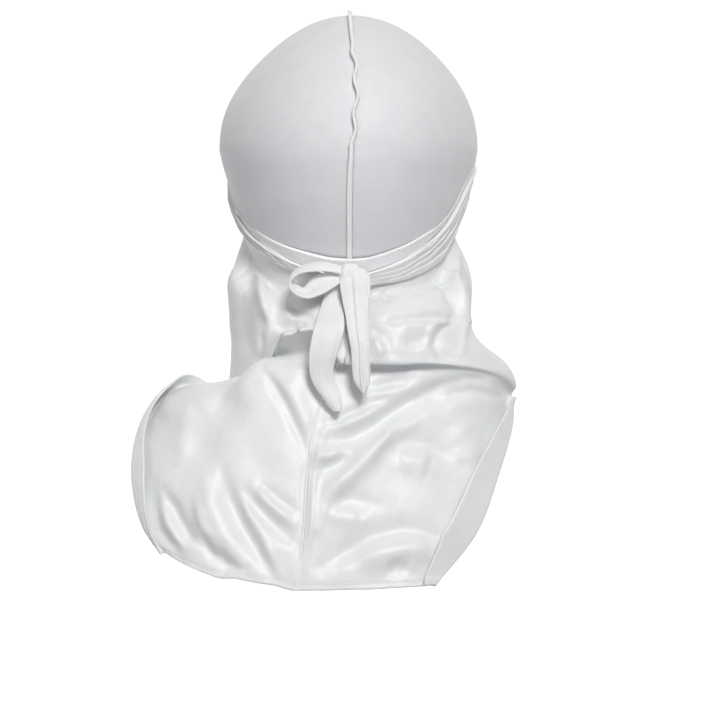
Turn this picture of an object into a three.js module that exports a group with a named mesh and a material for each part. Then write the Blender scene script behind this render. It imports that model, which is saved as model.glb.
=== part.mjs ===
// A satin durag, tied and worn: two-panel cap, pleated ties, bow and a gathered neck cape.
// Millimetres, +Z up. The wearer faces +Y and +X is the wearer's right.
// The origin is the top of the head, where the inside of the cap bears.
import * as THREE from 'three';

// Head form inside the cap
const HEAD_WIDTH = 163;
const HEAD_LENGTH = 190;
const HEAD_BACK_SHARE = 0.51;
const WIDEST_DROP = 85;
const NAPE_DROP = 95;

// Cloth walls and the space between layers that touch
const CLOTH = 1.2;
const CLEAR = 0.5;

// Flat bands round the cap's edge
const BAND_DROP = 157.5;
const BAND_HEIGHT = 9;
const BROW_HEIGHT = 12;
const BAND_WALL = 2;
const BAND_END = 114;
const BROW_FULL = 165;

// Proud seam allowance over the crown
const RIDGE_HEIGHT = 4.4;
const RIDGE_WALL = 1.7;
const RIDGE_FALL = 0.2;
const RIDGE_SWAY = { swing: 0.35, rest: -0.25, turns: 11, start: 0.6 };
const SEAM_SHIFT = 5.2;
const SEAM_WAVE = 1.1;
const SEAM_RUN = { rest: 0.42, bulgeAt: 0.8, bulge: 0.06, waveAt: 0.63, wave: 0.16 };
const SEAM_WAVE_SPAN = { from: 0.45, full: 0.6, fading: 0.95, to: 1.08 };

// Corners of a cap panel on the edge of the cap, in degrees from the back
const PANEL_FRONT = 128;
const PANEL_BACK = 46;

// How far the cap is pulled straight between its seam and its edge
const TAUT_LEFT = 3.6;
const TAUT_RIGHT = 2.4;

// Pleated ties
const TIE_WALL = 1.2;
const PLEAT_DEPTH = 1.5;
const PLEATS = 4;
const TIE_END = 126;
const TIE_AT_KNOT = { share: 0.85, before: 8, after: 26 };

// Bow
const KNOT_WIDTH = 15;
const KNOT_HEIGHT = 18;
const KNOT_DEPTH = 10;
const KNOT_DROP = 168;
const LOOP_LENGTH = 33;
const LOOP_HEIGHT = 16;
const LOOP_WIDTH = 13;
const LOOP_ROOT = 24;
const LOOP_DROOP = 8;
const LOOP_PINCH = 0.45;
const LOOP_FULLNESS = 1.15;
const LOOP_TILT = { out: 0.8, down: 0.5 };
const LOOP_OUT = 0.12;
const LOOP_UP = 0.05;
const TAIL_WALL = 1.4;
const TAIL_TOP = 0.42;
const TAIL_CUP = 1.2;
const TAIL_SPREAD = 0.35;
const LEFT_TAIL_LENGTH = 78;
const LEFT_TAIL_WIDTH = 17;
const RIGHT_TAIL_LENGTH = 66;
const RIGHT_TAIL_WIDTH = 16;

// Neck cape, measured from the foot of the ties
const CAPE_LENGTH = 183;
const CAPE_SPREAD = 49;
const CAPE_REACH = 130;
const CAPE_WRAP = 80;
const GATHER_DEPTH = 2.2;
const GATHERS = { count: 4, wander: 0.35, turns: 5, ease: 0.6, start: 0.08 };
const FOLD_DEPTH = 9;
const TURN_RADIUS = 2.1;
const TURN_WIDTH = 22;
const TURN_FROM = 5.7;
const TURN_ROWS = 1.5;
const TURN_CORNER = 0.3;
const TURN_OPEN = -7;
const TURN_CLOSED = 172;
const CAPE_SEAM_WIDTH = 3;
const EDGE_BEND = 0.6;
const HANG_BLEND = 0.04;
const BY_FREE_SIDE = 0.985;

// Part of each half of the cape, from its seam to its free side, that its rows lift and bring out
const LIFT_SPAN = {
  left: { from: 0, full: 0.15, fading: 0.37, to: 0.53 },
  right: { from: 0.1, full: 0.55, fading: 0.8, to: 1 },
};

// Head form below its widest level: side, back and front as shares of the widest
const NAPE_ROWS = [
  { drop: 0.0, side: 1.0, back: 1.0, front: 1.0 },
  { drop: 0.105, side: 0.972, back: 0.992, front: 0.995 },
  { drop: 0.25, side: 0.92, back: 0.955, front: 0.98 },
  { drop: 0.37, side: 0.888, back: 0.915, front: 0.96 },
  { drop: 0.52, side: 0.835, back: 0.85, front: 0.93 },
  { drop: 0.75, side: 0.775, back: 0.74, front: 0.9 },
  { drop: 1.0, side: 0.755, back: 0.69, front: 0.88 },
  { drop: 1.6, side: 0.75, back: 0.68, front: 0.88 },
];

// Edges round the head on either side, by turn in degrees from the back. As shares of BAND_DROP:
// top of the band, foot of the tie, and where the cape that lies under the tie starts to hang.
// band is a share of BAND_HEIGHT
const EDGE_ROWS = {
  left: [
    { turn: 0, top: 1.0, band: 1.0, tie: 1.095, hang: 1.126 },
    { turn: 12, top: 0.992, band: 1.0, tie: 1.08, hang: 1.122 },
    { turn: 33, top: 0.952, band: 0.9, tie: 1.04, hang: 1.091 },
    { turn: 45, top: 0.921, band: 0.7, tie: 1.01, hang: 1.086 },
    { turn: 54, top: 0.892, band: 0.6, tie: 0.972, hang: 1.066 },
    { turn: 63, top: 0.857, band: 0.6, tie: 0.932, hang: 1.023 },
    { turn: 76, top: 0.785, band: 0.6, tie: 0.875, hang: 0.92 },
    { turn: 90, top: 0.69, band: 0.75, tie: 0.8, hang: 0.83 },
    { turn: 115, top: 0.54, band: 1.0, tie: 0.68, hang: 0.71 },
    { turn: 140, top: 0.46, band: 1.0, tie: 0.6, hang: 0.63 },
    { turn: 180, top: 0.395, band: 1.0, tie: 0.52, hang: 0.56 },
  ],
  right: [
    { turn: 0, top: 1.0, band: 1.0, tie: 1.108, hang: 1.126 },
    { turn: 12, top: 0.99, band: 1.0, tie: 1.106, hang: 1.122 },
    { turn: 33, top: 0.94, band: 0.9, tie: 1.077, hang: 1.095 },
    { turn: 45, top: 0.897, band: 0.7, tie: 1.051, hang: 1.086 },
    { turn: 54, top: 0.86, band: 0.6, tie: 1.025, hang: 1.066 },
    { turn: 63, top: 0.8, band: 0.6, tie: 0.995, hang: 1.023 },
    { turn: 76, top: 0.665, band: 0.6, tie: 0.9, hang: 0.92 },
    { turn: 90, top: 0.575, band: 0.75, tie: 0.765, hang: 0.8 },
    { turn: 115, top: 0.5, band: 1.0, tie: 0.64, hang: 0.67 },
    { turn: 140, top: 0.445, band: 1.0, tie: 0.58, hang: 0.61 },
    { turn: 180, top: 0.395, band: 1.0, tie: 0.52, hang: 0.56 },
  ],
};

// Cape down its centre seam: fall and out are shares of CAPE_LENGTH and CAPE_SPREAD,
// sway is a share of CAPE_REACH, gather is a share of GATHER_DEPTH
const CAPE_ROWS = [
  { row: 'shirred', fall: 0.05, out: 0.12, sway: 0.0, gather: 1.0 },
  { row: 'column', fall: 0.13, out: 0.3, sway: 0.0, gather: 1.0 },
  { row: 'slack', fall: 0.2, out: 0.48, sway: -0.01, gather: 0.7 },
  { row: 'rim', fall: 0.245, out: 0.5, sway: -0.02, gather: 0.4 },
  { row: 'tuck', fall: 0.235, out: 0.3, sway: -0.04, gather: 0.0 },
  { row: 'shoulder', fall: 0.3, out: 0.36, sway: -0.08, gather: 0.0 },
  { row: 'blade', fall: 0.42, out: 0.52, sway: -0.15, gather: 0.3 },
  { row: 'back', fall: 0.61, out: 0.7, sway: -0.19, gather: 0.5 },
  { row: 'low', fall: 0.82, out: 0.88, sway: -0.21, gather: 0.8 },
  { row: 'hem', fall: 1.0, out: 1.0, sway: -0.245, gather: 1.0 },
];

// Cape at its free sides, row for row with the table above: reach is a share of CAPE_REACH,
// deep a share of the cape's full depth and turned a share of TURN_WIDTH. rise and swell, shares of
// CAPE_LENGTH and CAPE_SPREAD, lift the row and bring it out over LIFT_SPAN
const SIDE_ROWS = {
  left: [
    { fall: -0.06, reach: 0.57, deep: 0.1, wrap: 88, turned: 0.05, rise: 0.0, swell: 0.0 },
    { fall: 0.1, reach: 0.57, deep: 0.12, wrap: 87, turned: 0.05, rise: 0.0, swell: 0.0 },
    { fall: 0.25, reach: 0.575, deep: 0.16, wrap: 84, turned: 0.05, rise: 0.075, swell: 0.0 },
    { fall: 0.33, reach: 0.59, deep: 0.18, wrap: 80, turned: 0.05, rise: 0.12, swell: 0.02 },
    { fall: 0.335, reach: 0.62, deep: 0.16, wrap: 78, turned: 0.12, rise: 0.045, swell: -0.14 },
    { fall: 0.335, reach: 0.83, deep: 0.3, wrap: 72, turned: 0.3, rise: 0.06, swell: 0.02 },
    { fall: 0.44, reach: 0.955, deep: 0.45, wrap: 68, turned: 0.3, rise: 0.0, swell: 0.02 },
    { fall: 0.6, reach: 1.0, deep: 0.62, wrap: 64, turned: 0.55, rise: 0.0, swell: 0.0 },
    { fall: 0.78, reach: 0.955, deep: 0.74, wrap: 62, turned: 0.3, rise: 0.02, swell: 0.0 },
    { fall: 0.88, reach: 0.87, deep: 0.8, wrap: 60, turned: 0.05, rise: 0.015, swell: 0.0 },
  ],
  right: [
    { fall: -0.06, reach: 0.6, deep: 0.1, wrap: 88, turned: 0.05, rise: 0.0, swell: 0.0 },
    { fall: 0.13, reach: 0.61, deep: 0.12, wrap: 87, turned: 0.05, rise: 0.0, swell: 0.0 },
    { fall: 0.24, reach: 0.765, deep: 0.24, wrap: 80, turned: 0.05, rise: 0.0, swell: 0.0 },
    { fall: 0.31, reach: 0.81, deep: 0.3, wrap: 77, turned: 0.05, rise: 0.02, swell: 0.0 },
    { fall: 0.345, reach: 0.785, deep: 0.28, wrap: 75, turned: 0.02, rise: 0.02, swell: 0.12 },
    { fall: 0.375, reach: 0.765, deep: 0.34, wrap: 72, turned: 0.12, rise: 0.02, swell: 0.08 },
    { fall: 0.47, reach: 0.75, deep: 0.44, wrap: 69, turned: 0.75, rise: 0.0, swell: 0.0 },
    { fall: 0.62, reach: 0.685, deep: 0.6, wrap: 66, turned: 1.15, rise: 0.0, swell: 0.0 },
    { fall: 0.82, reach: 0.575, deep: 0.76, wrap: 63, turned: 1.25, rise: 0.0, swell: 0.0 },
    { fall: 0.985, reach: 0.395, deep: 0.9, wrap: 60, turned: 0.3, rise: 0.0, swell: 0.0 },
  ],
};

// Folds in the cape: at and width run across a half from the seam, from and to count rows,
// depth is a share of FOLD_DEPTH and positive goes in
const CAPE_FOLDS = {
  left: [
    { at: 0.7, width: 0.09, from: 1.2, to: 4.0, depth: 0.9 },
    { at: 0.34, width: 0.14, from: 1.5, to: 4.2, depth: -0.35 },
    { at: 0.28, width: 0.1, from: 6.2, to: 11.5, depth: 0.3 },
    { at: 0.55, width: 0.1, from: 7.5, to: 11.5, depth: -0.35 },
    { at: 0.78, width: 0.09, from: 7.0, to: 11.5, depth: 0.35 },
  ],
  right: [
    { at: 0.68, width: 0.09, from: 1.2, to: 4.5, depth: 0.9 },
    { at: 0.4, width: 0.12, from: 1.5, to: 3.8, depth: -0.3 },
    { at: 0.24, width: 0.1, from: 7.2, to: 11.5, depth: 0.45 },
    { at: 0.52, width: 0.13, from: 6.0, to: 10.5, depth: -0.4 },
  ],
};

// Tails of the bow: down is a share of the tail's length, width of its width, aside of KNOT_WIDTH
const TAIL_ROWS = {
  left: [
    { down: 0.0, width: 0.62, aside: -0.42 },
    { down: 0.12, width: 0.8, aside: -0.68 },
    { down: 0.34, width: 1.0, aside: -0.92 },
    { down: 0.55, width: 0.92, aside: -1.05 },
    { down: 0.75, width: 0.78, aside: -0.98 },
    { down: 0.9, width: 0.58, aside: -0.65 },
    { down: 1.0, width: 0.12, aside: -0.6 },
  ],
  right: [
    { down: 0.0, width: 0.8, aside: 0.34 },
    { down: 0.15, width: 1.0, aside: 0.39 },
    { down: 0.4, width: 0.92, aside: 0.37 },
    { down: 0.65, width: 0.82, aside: 0.42 },
    { down: 0.86, width: 0.5, aside: 0.62 },
    { down: 1.0, width: 0.12, aside: 0.76 },
  ],
};

// How finely each piece is divided
const CROWN_STEPS = { along: 20, across: 10 };
const BAND_STEPS = { along: 40, across: 2 };
const BROW_STEPS = { along: 24, across: 2 };
const RIDGE_STEPS = { along: 40, across: 2 };
const TIE_STEPS = { along: 26, across: 2 * PLEATS };
const LOOP_STEPS = { along: 22, across: 3 };
const TAIL_STEPS = { along: 12, across: 4 };
const CAPE_STEPS = { main: 19, turn: 5, perRow: 2 };
const SEAM_STEPS = { along: 24, across: 2 };

const EDGE_GAP = CLEAR * 1.7;
const HALF_TURN = 180;
const FULL_TURN = 360;
const DEG = Math.PI / HALF_TURN;

const lerp = THREE.MathUtils.lerp;
const clamp = THREE.MathUtils.clamp;
const smoothstep = THREE.MathUtils.smoothstep;

// Smooth value through the rows of a table, at a place along its key column
function through(rows, key, at, column) {
  const place = clamp(at, rows[0][key], rows[rows.length - 1][key]);
  let i = 0;
  while (i < rows.length - 2 && place > rows[i + 1][key]) i += 1;
  const [p, a, b, q] = [rows[Math.max(i - 1, 0)], rows[i], rows[i + 1], rows[Math.min(i + 2, rows.length - 1)]];
  const span = b[key] - a[key];
  const slopeA = (b[column] - p[column]) / (b[key] - p[key]);
  const slopeB = (q[column] - a[column]) / (q[key] - a[key]);
  const t = (place - a[key]) / span;
  const tt = t * t;
  const ttt = tt * t;
  return (2 * ttt - 3 * tt + 1) * a[column] + (ttt - 2 * tt + t) * span * slopeA
    + (3 * tt - 2 * ttt) * b[column] + (ttt - tt) * span * slopeB;
}

// Smooth point through a list of points, at a place counted in points
function throughPoints(points, at) {
  const i = clamp(Math.floor(at), 0, points.length - 2);
  const t = at - i;
  const p = points[Math.max(i - 1, 0)];
  const q = points[Math.min(i + 2, points.length - 1)];
  const slopeA = points[i + 1].clone().sub(p).multiplyScalar(0.5);
  const slopeB = q.clone().sub(points[i]).multiplyScalar(0.5);
  const tt = t * t;
  const ttt = tt * t;
  return points[i].clone().multiplyScalar(2 * ttt - 3 * tt + 1)
    .addScaledVector(slopeA, ttt - 2 * tt + t)
    .addScaledVector(points[i + 1], 3 * tt - 2 * ttt)
    .addScaledVector(slopeB, ttt - tt);
}

// Closed body between an outer and an inner face, both given as functions of two shares
function body(outer, inner, along, across, flip) {
  const positions = [];
  const faces = [];
  const count = (along + 1) * (across + 1);
  for (const face of [outer, inner]) {
    for (let i = 0; i <= along; i += 1) {
      for (let j = 0; j <= across; j += 1) positions.push(...face(i / along, j / across).toArray());
    }
  }
  const quad = (a, b, c, d) => (flip ? faces.push(a, c, b, a, d, c) : faces.push(a, b, c, a, c, d));
  const at = (i, j) => i * (across + 1) + j;
  for (let i = 0; i < along; i += 1) {
    for (let j = 0; j < across; j += 1) {
      const corners = [at(i, j), at(i + 1, j), at(i + 1, j + 1), at(i, j + 1)];
      quad(...corners);
      quad(...corners.map((k) => k + count).reverse());
    }
    quad(at(i, 0), at(i, 0) + count, at(i + 1, 0) + count, at(i + 1, 0));
    quad(at(i, across), at(i + 1, across), at(i + 1, across) + count, at(i, across) + count);
  }
  for (let j = 0; j < across; j += 1) {
    quad(at(0, j), at(0, j + 1), at(0, j + 1) + count, at(0, j) + count);
    quad(at(along, j), at(along, j) + count, at(along, j + 1) + count, at(along, j + 1));
  }
  const geometry = new THREE.BufferGeometry();
  geometry.setAttribute('position', new THREE.Float32BufferAttribute(positions, 3));
  geometry.setIndex(faces);
  geometry.computeVertexNormals();
  return geometry;
}

// Direction that a face looks, from its slopes
function facing(face, u, v, flip) {
  const step = 0.004;
  const alongU = face(Math.min(u + step, 1), v).sub(face(Math.max(u - step, 0), v));
  const alongV = face(u, Math.min(v + step, 1)).sub(face(u, Math.max(v - step, 0)));
  return alongU.cross(alongV).normalize().multiplyScalar(flip ? -1 : 1);
}

// Cloth of even thickness behind its outer face
function cloth(face, wall, steps, flip = false) {
  const behind = (u, v) => face(u, v).addScaledVector(facing(face, u, v, flip), -wall);
  return body(face, behind, steps.along, steps.across, flip);
}

// Head form: level 0 is the top, 1 the widest level, more than 1 goes on towards the nape
const LEVEL_DROP = WIDEST_DROP * Math.PI / 2;
const levelOf = (z) => (z > -WIDEST_DROP ? Math.acos(1 + z / WIDEST_DROP) / (Math.PI / 2)
  : 1 + (-WIDEST_DROP - z) / LEVEL_DROP);

function formAt(turn, level, lift) {
  const side = HEAD_WIDTH / 2;
  const ahead = Math.cos(turn * DEG) < 0;
  const length = HEAD_LENGTH * (ahead ? 1 - HEAD_BACK_SHARE : HEAD_BACK_SHARE);
  const rim = Math.sin(Math.min(level, 1) * Math.PI / 2);
  const z = level < 1 ? -WIDEST_DROP + (WIDEST_DROP + lift) * Math.cos(level * Math.PI / 2)
    : -WIDEST_DROP - (level - 1) * LEVEL_DROP;
  const drop = Math.max(0, -WIDEST_DROP - z) / NAPE_DROP;
  const sideShare = through(NAPE_ROWS, 'drop', drop, 'side');
  const endShare = through(NAPE_ROWS, 'drop', drop, ahead ? 'front' : 'back');
  return new THREE.Vector3(
    (side * sideShare + lift) * rim * Math.sin(turn * DEG),
    -(length * endShare + lift) * rim * Math.cos(turn * DEG),
    z,
  );
}

const formAtHeight = (turn, z, lift) => formAt(turn, levelOf(z), lift);

// Heights of the edges round the head, for a turn to either side of the back
const apart = (turn) => HALF_TURN - Math.abs(HALF_TURN - Math.abs(turn));
const edgeAt = (turn, column) => {
  const rows = EDGE_ROWS[Math.sin(turn * DEG) < 0 ? 'left' : 'right'];
  return through(rows, 'turn', apart(turn), column);
};
const bandTop = (turn) => -BAND_DROP * edgeAt(turn, 'top');
const bandHeight = (turn) => BAND_HEIGHT * edgeAt(turn, 'band');
const bandFoot = (turn) => bandTop(turn) - bandHeight(turn);
const tieTop = (turn) => bandFoot(turn) - CLEAR;
const tieFoot = (turn) => -BAND_DROP * edgeAt(turn, 'tie');
const hangFrom = (turn) => -BAND_DROP * edgeAt(turn, 'hang');
const crownFoot = (turn) => bandTop(turn) + EDGE_GAP;
const capeTop = (turn) => bandFoot(turn) - CLEAR - CLOTH * 0.7;

const TIE_LIFT = CLOTH + CLEAR;

// Flat map of the crown: the level is the distance from the middle, the turn is the direction
function crownEdge(side, turn) {
  const level = levelOf(crownFoot(side * turn));
  return new THREE.Vector2(level * Math.sin(turn * DEG), -level * Math.cos(turn * DEG));
}

// Sideways place of the middle seam: it wanders to one side and back on its way to the nape
function seamPlace(signed) {
  const { rest, bulgeAt, bulge, waveAt, wave } = SEAM_RUN;
  const { from, full, fading, to } = SEAM_WAVE_SPAN;
  const shift = SEAM_SHIFT * (rest + (1 - rest) * Math.exp(-((signed - bulgeAt) ** 2) / bulge));
  const sway = SEAM_WAVE * Math.cos(2 * Math.PI * (signed - waveAt) / wave);
  return shift + sway * smoothstep(signed, from, full) * (1 - smoothstep(signed, fading, to));
}

// One panel of the cap: a patch between the seam and the edge from forehead to nape
function crownPanel(side, taut) {
  const along = (u) => lerp(HALF_TURN, 0, u);
  const rim = (turn) => crownEdge(side, turn);
  const patch = (u, v) => {
    const front = rim(lerp(HALF_TURN, PANEL_FRONT, v));
    const back = rim(lerp(0, PANEL_BACK, v));
    const seam = new THREE.Vector2(0, lerp(rim(HALF_TURN).y, rim(0).y, u));
    const edge = rim(lerp(PANEL_FRONT, PANEL_BACK, u));
    const corners = rim(HALF_TURN).multiplyScalar((1 - u) * (1 - v))
      .addScaledVector(rim(0), u * (1 - v))
      .addScaledVector(rim(PANEL_FRONT), (1 - u) * v)
      .addScaledVector(rim(PANEL_BACK), u * v);
    return front.multiplyScalar(1 - u).addScaledVector(back, u)
      .addScaledVector(seam, 1 - v).addScaledVector(edge, v).sub(corners);
  };
  const face = (lift) => (u, v) => {
    const flat = patch(u, v);
    const turn = flat.length() < 1e-6 ? along(u) : Math.atan2(flat.x, -flat.y) / DEG;
    const level = flat.length();
    const point = formAt(turn, level, lift);
    const slack = taut * Math.sin(Math.PI * Math.min(level * 1.1, 1)) ** 2 * Math.sin(turn * DEG) ** 2;
    point.x = side * (Math.max(point.x - slack, 0) + CLEAR / 2) + seamPlace(-flat.y) * (1 - v) ** 2;
    point.z -= slack * 0.5;
    return point;
  };
  return body(face(CLOTH), face(0), CROWN_STEPS.along, CROWN_STEPS.across, side < 0);
}

// Seam allowance that stands up along the middle of the cap and sways from side to side
function crownRidge() {
  const start = levelOf(crownFoot(HALF_TURN));
  const reach = levelOf(crownFoot(0));
  const base = CLOTH + CLEAR * 1.2;
  const face = (u, v) => {
    const signed = lerp(-start, reach, u);
    const turn = signed < 0 ? HALF_TURN : 0;
    const foot = formAt(turn, Math.abs(signed), base);
    const tall = RIDGE_HEIGHT * (1 - RIDGE_FALL * (1 - Math.cos(u * Math.PI)));
    const tip = formAt(turn, Math.abs(signed), base + tall);
    const { swing, rest, turns, start: phase } = RIDGE_SWAY;
    const lean = swing * Math.sin(turns * u + phase) + rest;
    const height = tip.distanceTo(foot) * v;
    const point = foot.lerp(tip, v * Math.cos(lean));
    point.x = seamPlace(signed) + Math.sin(lean) * height - RIDGE_WALL / 2;
    return point;
  };
  return cloth(face, RIDGE_WALL, RIDGE_STEPS, false);
}

// Flat sewn band along the edge of the cap, between two turns
function edgeBand(fromTurn, toTurn, height, steps) {
  const face = (lift) => (u, v) => {
    const turn = lerp(fromTurn, toTurn, u);
    return formAtHeight(turn, bandTop(turn) - height(turn) * v, lift);
  };
  return body(face(BAND_WALL), face(0), steps.along, steps.across, true);
}

// Pleated tie from the temple round to the knot
function tie(side) {
  const knotTurn = Math.asin((KNOT_WIDTH / 2 + CLEAR) / formAtHeight(90, -KNOT_DROP, 0).x) / DEG;
  const shape = (u, v) => {
    const turn = lerp(TIE_END, knotTurn, u);
    const gatherIn = smoothstep(turn, knotTurn - TIE_AT_KNOT.before, knotTurn + TIE_AT_KNOT.after);
    const top = tieTop(side * turn);
    const tall = (top - tieFoot(side * turn)) * lerp(TIE_AT_KNOT.share, 1, gatherIn);
    return { turn, z: top - tall * v, rise: (1 - gatherIn) * CLEAR * 3, v };
  };
  const face = (u, v) => {
    const at = shape(u, v);
    const pleat = PLEAT_DEPTH * Math.abs(Math.sin(PLEATS * Math.PI * at.v));
    return formAtHeight(side * at.turn, at.z, TIE_LIFT + at.rise + TIE_WALL + pleat);
  };
  const inner = (u, v) => {
    const at = shape(u, v);
    return formAtHeight(side * at.turn, at.z, TIE_LIFT + at.rise);
  };
  return body(face, inner, TIE_STEPS.along, TIE_STEPS.across, side < 0);
}

// How far out the back of the neck is at the foot of the ties
const HALF_GAP = CLEAR * 0.8;
const NAPE_BACK = -formAtHeight(0, hangFrom(0), CLOTH).y;
const CAPE_DEPTH = NAPE_BACK + CAPE_SPREAD;
const FIRST_ROW = 2;
const LAST_ROW = FIRST_ROW + CAPE_ROWS.length - 1;

// Depth of a fold or gather in the cape, positive outwards
function ripple(name, u, t) {
  const row = clamp(t - FIRST_ROW, 0, CAPE_ROWS.length - 1);
  const low = Math.floor(row);
  const high = Math.min(low + 1, CAPE_ROWS.length - 1);
  const gather = lerp(CAPE_ROWS[low].gather, CAPE_ROWS[high].gather, row - low);
  const onset = smoothstep(t, 1, FIRST_ROW);
  const { count, wander, turns, ease, start } = GATHERS;
  const seamFade = smoothstep(u, 0, start);
  const waves = Math.sin(2 * Math.PI * (count * u + wander * Math.sin(turns * u)));
  let out = GATHER_DEPTH * gather * waves * (1 - ease * u);
  for (const fold of CAPE_FOLDS[name]) {
    const away = (u - fold.at) / fold.width;
    const span = smoothstep(t, fold.from, fold.from + 1) * (1 - smoothstep(t, fold.to - 1, fold.to));
    out -= FOLD_DEPTH * fold.depth * Math.exp(-away * away) * span;
  }
  return out * onset * seamFade;
}

// Point of the cape's table: u runs from the seam to the free side
function capeKnot(name, side, u, row) {
  const centre = CAPE_ROWS[row];
  const edge = SIDE_ROWS[name][row];
  const wrap = edge.wrap * DEG;
  const angle = u * wrap;
  const seamX = centre.sway * CAPE_REACH;
  const edgeX = side * edge.reach * CAPE_REACH;
  const seamY = NAPE_BACK + centre.out * CAPE_SPREAD;
  const edgeY = edge.deep * CAPE_DEPTH;
  const bow = (Math.cos(angle) - Math.cos(wrap)) / (1 - Math.cos(wrap));
  const { from, full, fading, to } = LIFT_SPAN[name];
  const lifted = smoothstep(u, from, full) * (1 - smoothstep(u, fading, to));
  const fall = lerp(centre.fall, edge.fall, u * u * (1 + EDGE_BEND - EDGE_BEND * u)) - edge.rise * lifted;
  return new THREE.Vector3(
    seamX + (edgeX - seamX) * Math.sin(angle) / Math.sin(wrap) + side * HALF_GAP,
    -(edgeY + (seamY - edgeY) * bow + edge.swell * CAPE_SPREAD * lifted),
    hangFrom(0) - fall * CAPE_LENGTH,
  );
}

// Outer face of one half of the cape: t counts rows, 0 to 1 lies under the tie
function capeFace(name, side, u, t) {
  const turn = side * u * CAPE_WRAP;
  const foot = hangFrom(turn) - CLEAR * 3;
  if (t <= 1) {
    const point = formAtHeight(turn, lerp(capeTop(turn), foot, t), CLOTH);
    point.x += side * HALF_GAP * (1 - u);
    return point;
  }
  const above = formAtHeight(turn, foot + CAPE_LENGTH * HANG_BLEND, CLOTH);
  const hang = formAtHeight(turn, foot, CLOTH);
  above.x += side * HALF_GAP * (1 - u);
  hang.x += side * HALF_GAP * (1 - u);
  const knots = [above, hang];
  for (let row = 0; row < CAPE_ROWS.length; row += 1) knots.push(capeKnot(name, side, u, row));
  const point = throughPoints(knots, t);
  const out = ripple(name, u, t);
  point.x += Math.sin(turn * DEG) * out;
  point.y -= Math.cos(turn * DEG) * out;
  return point;
}

// Free side of the cape, turned back over its outer face: d is the distance past the fold
function turnedEdge(name, side, share, t) {
  const fold = capeFace(name, side, 1, t);
  const outward = fold.clone().sub(capeFace(name, side, BY_FREE_SIDE, t)).normalize();
  const down = capeFace(name, side, 1, Math.min(t + 0.05, LAST_ROW)).sub(capeFace(name, side, 1, Math.max(t - 0.05, 0)));
  const normal = outward.clone().cross(down).normalize().multiplyScalar(side);
  const row = clamp(t - FIRST_ROW, 0, CAPE_ROWS.length - 1);
  const low = Math.floor(row);
  const high = Math.min(low + 1, CAPE_ROWS.length - 1);
  const rows = SIDE_ROWS[name];
  const width = TURN_WIDTH * lerp(rows[low].turned, rows[high].turned, row - low);
  const turning = smoothstep(t, TURN_FROM, TURN_FROM + TURN_ROWS);
  const corner = smoothstep(t, LAST_ROW - TURN_ROWS, LAST_ROW);
  const bend = lerp(TURN_OPEN, TURN_CLOSED, turning) * DEG;
  const arc = Math.PI * TURN_RADIUS * lerp(TURN_CORNER, 1, turning * (1 - corner));
  const inArc = Math.min(share * 2, 1);
  const angle = bend * inArc;
  const curl = arc / bend;
  const straight = width * Math.max(share * 2 - 1, 0);
  return fold
    .addScaledVector(outward, curl * Math.sin(angle) + straight * Math.cos(bend))
    .addScaledVector(normal, -(curl * (1 - Math.cos(angle)) + straight * Math.sin(bend)));
}

function capeHalf(name, side) {
  const { main, turn, perRow } = CAPE_STEPS;
  const across = main + turn;
  const face = (u, v) => {
    const t = v * LAST_ROW;
    const column = u * across;
    if (column <= main) return capeFace(name, side, column / main, t);
    return turnedEdge(name, side, (column - main) / turn, t);
  };
  return cloth(face, CLOTH, { along: across, across: LAST_ROW * perRow }, side > 0);
}

// Raised seam that joins the two halves of the cape
function capeSeam() {
  const face = (u, v) => {
    const t = lerp(FIRST_ROW - 0.6, LAST_ROW, u);
    const left = capeFace('left', -1, 0, t);
    const right = capeFace('right', 1, 0, t);
    const ahead = capeFace('left', -1, 0, Math.min(t + 0.05, LAST_ROW));
    const before = capeFace('left', -1, 0, Math.max(t - 0.05, 0));
    const normal = ahead.sub(before).cross(new THREE.Vector3(1, 0, 0)).normalize();
    const point = left.lerp(right, 0.5).addScaledVector(normal, CLEAR * 1.4 + CLOTH);
    point.x += (v - 0.5) * CAPE_SEAM_WIDTH;
    return point;
  };
  return cloth(face, CLOTH, SEAM_STEPS, false);
}

// Outermost the middle of the cape comes down to a height, for what hangs over it
function capeOutTo(z) {
  let out = 0;
  for (let t = 1; t <= LAST_ROW; t += 0.1) {
    for (const [name, side] of [['left', -1], ['right', 1]]) {
      for (let u = 0; u <= TAIL_SPREAD; u += TAIL_SPREAD / 7) {
        const point = capeFace(name, side, u, t);
        if (point.z > z) out = Math.max(out, -point.y);
      }
    }
  }
  return out;
}

const KNOT_BACK = -formAtHeight(0, -KNOT_DROP + KNOT_HEIGHT / 2, BAND_WALL + CLEAR).y;
const KNOT_Y = -(KNOT_BACK + KNOT_DEPTH / 2);

// Knot: a soft lump of wrapped cloth
function knot() {
  const geometry = new THREE.SphereGeometry(1, 14, 9);
  geometry.scale(KNOT_WIDTH / 2, KNOT_DEPTH / 2, KNOT_HEIGHT / 2);
  geometry.translate(0, KNOT_Y, -KNOT_DROP);
  geometry.deleteAttribute('uv');
  return geometry;
}

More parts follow.
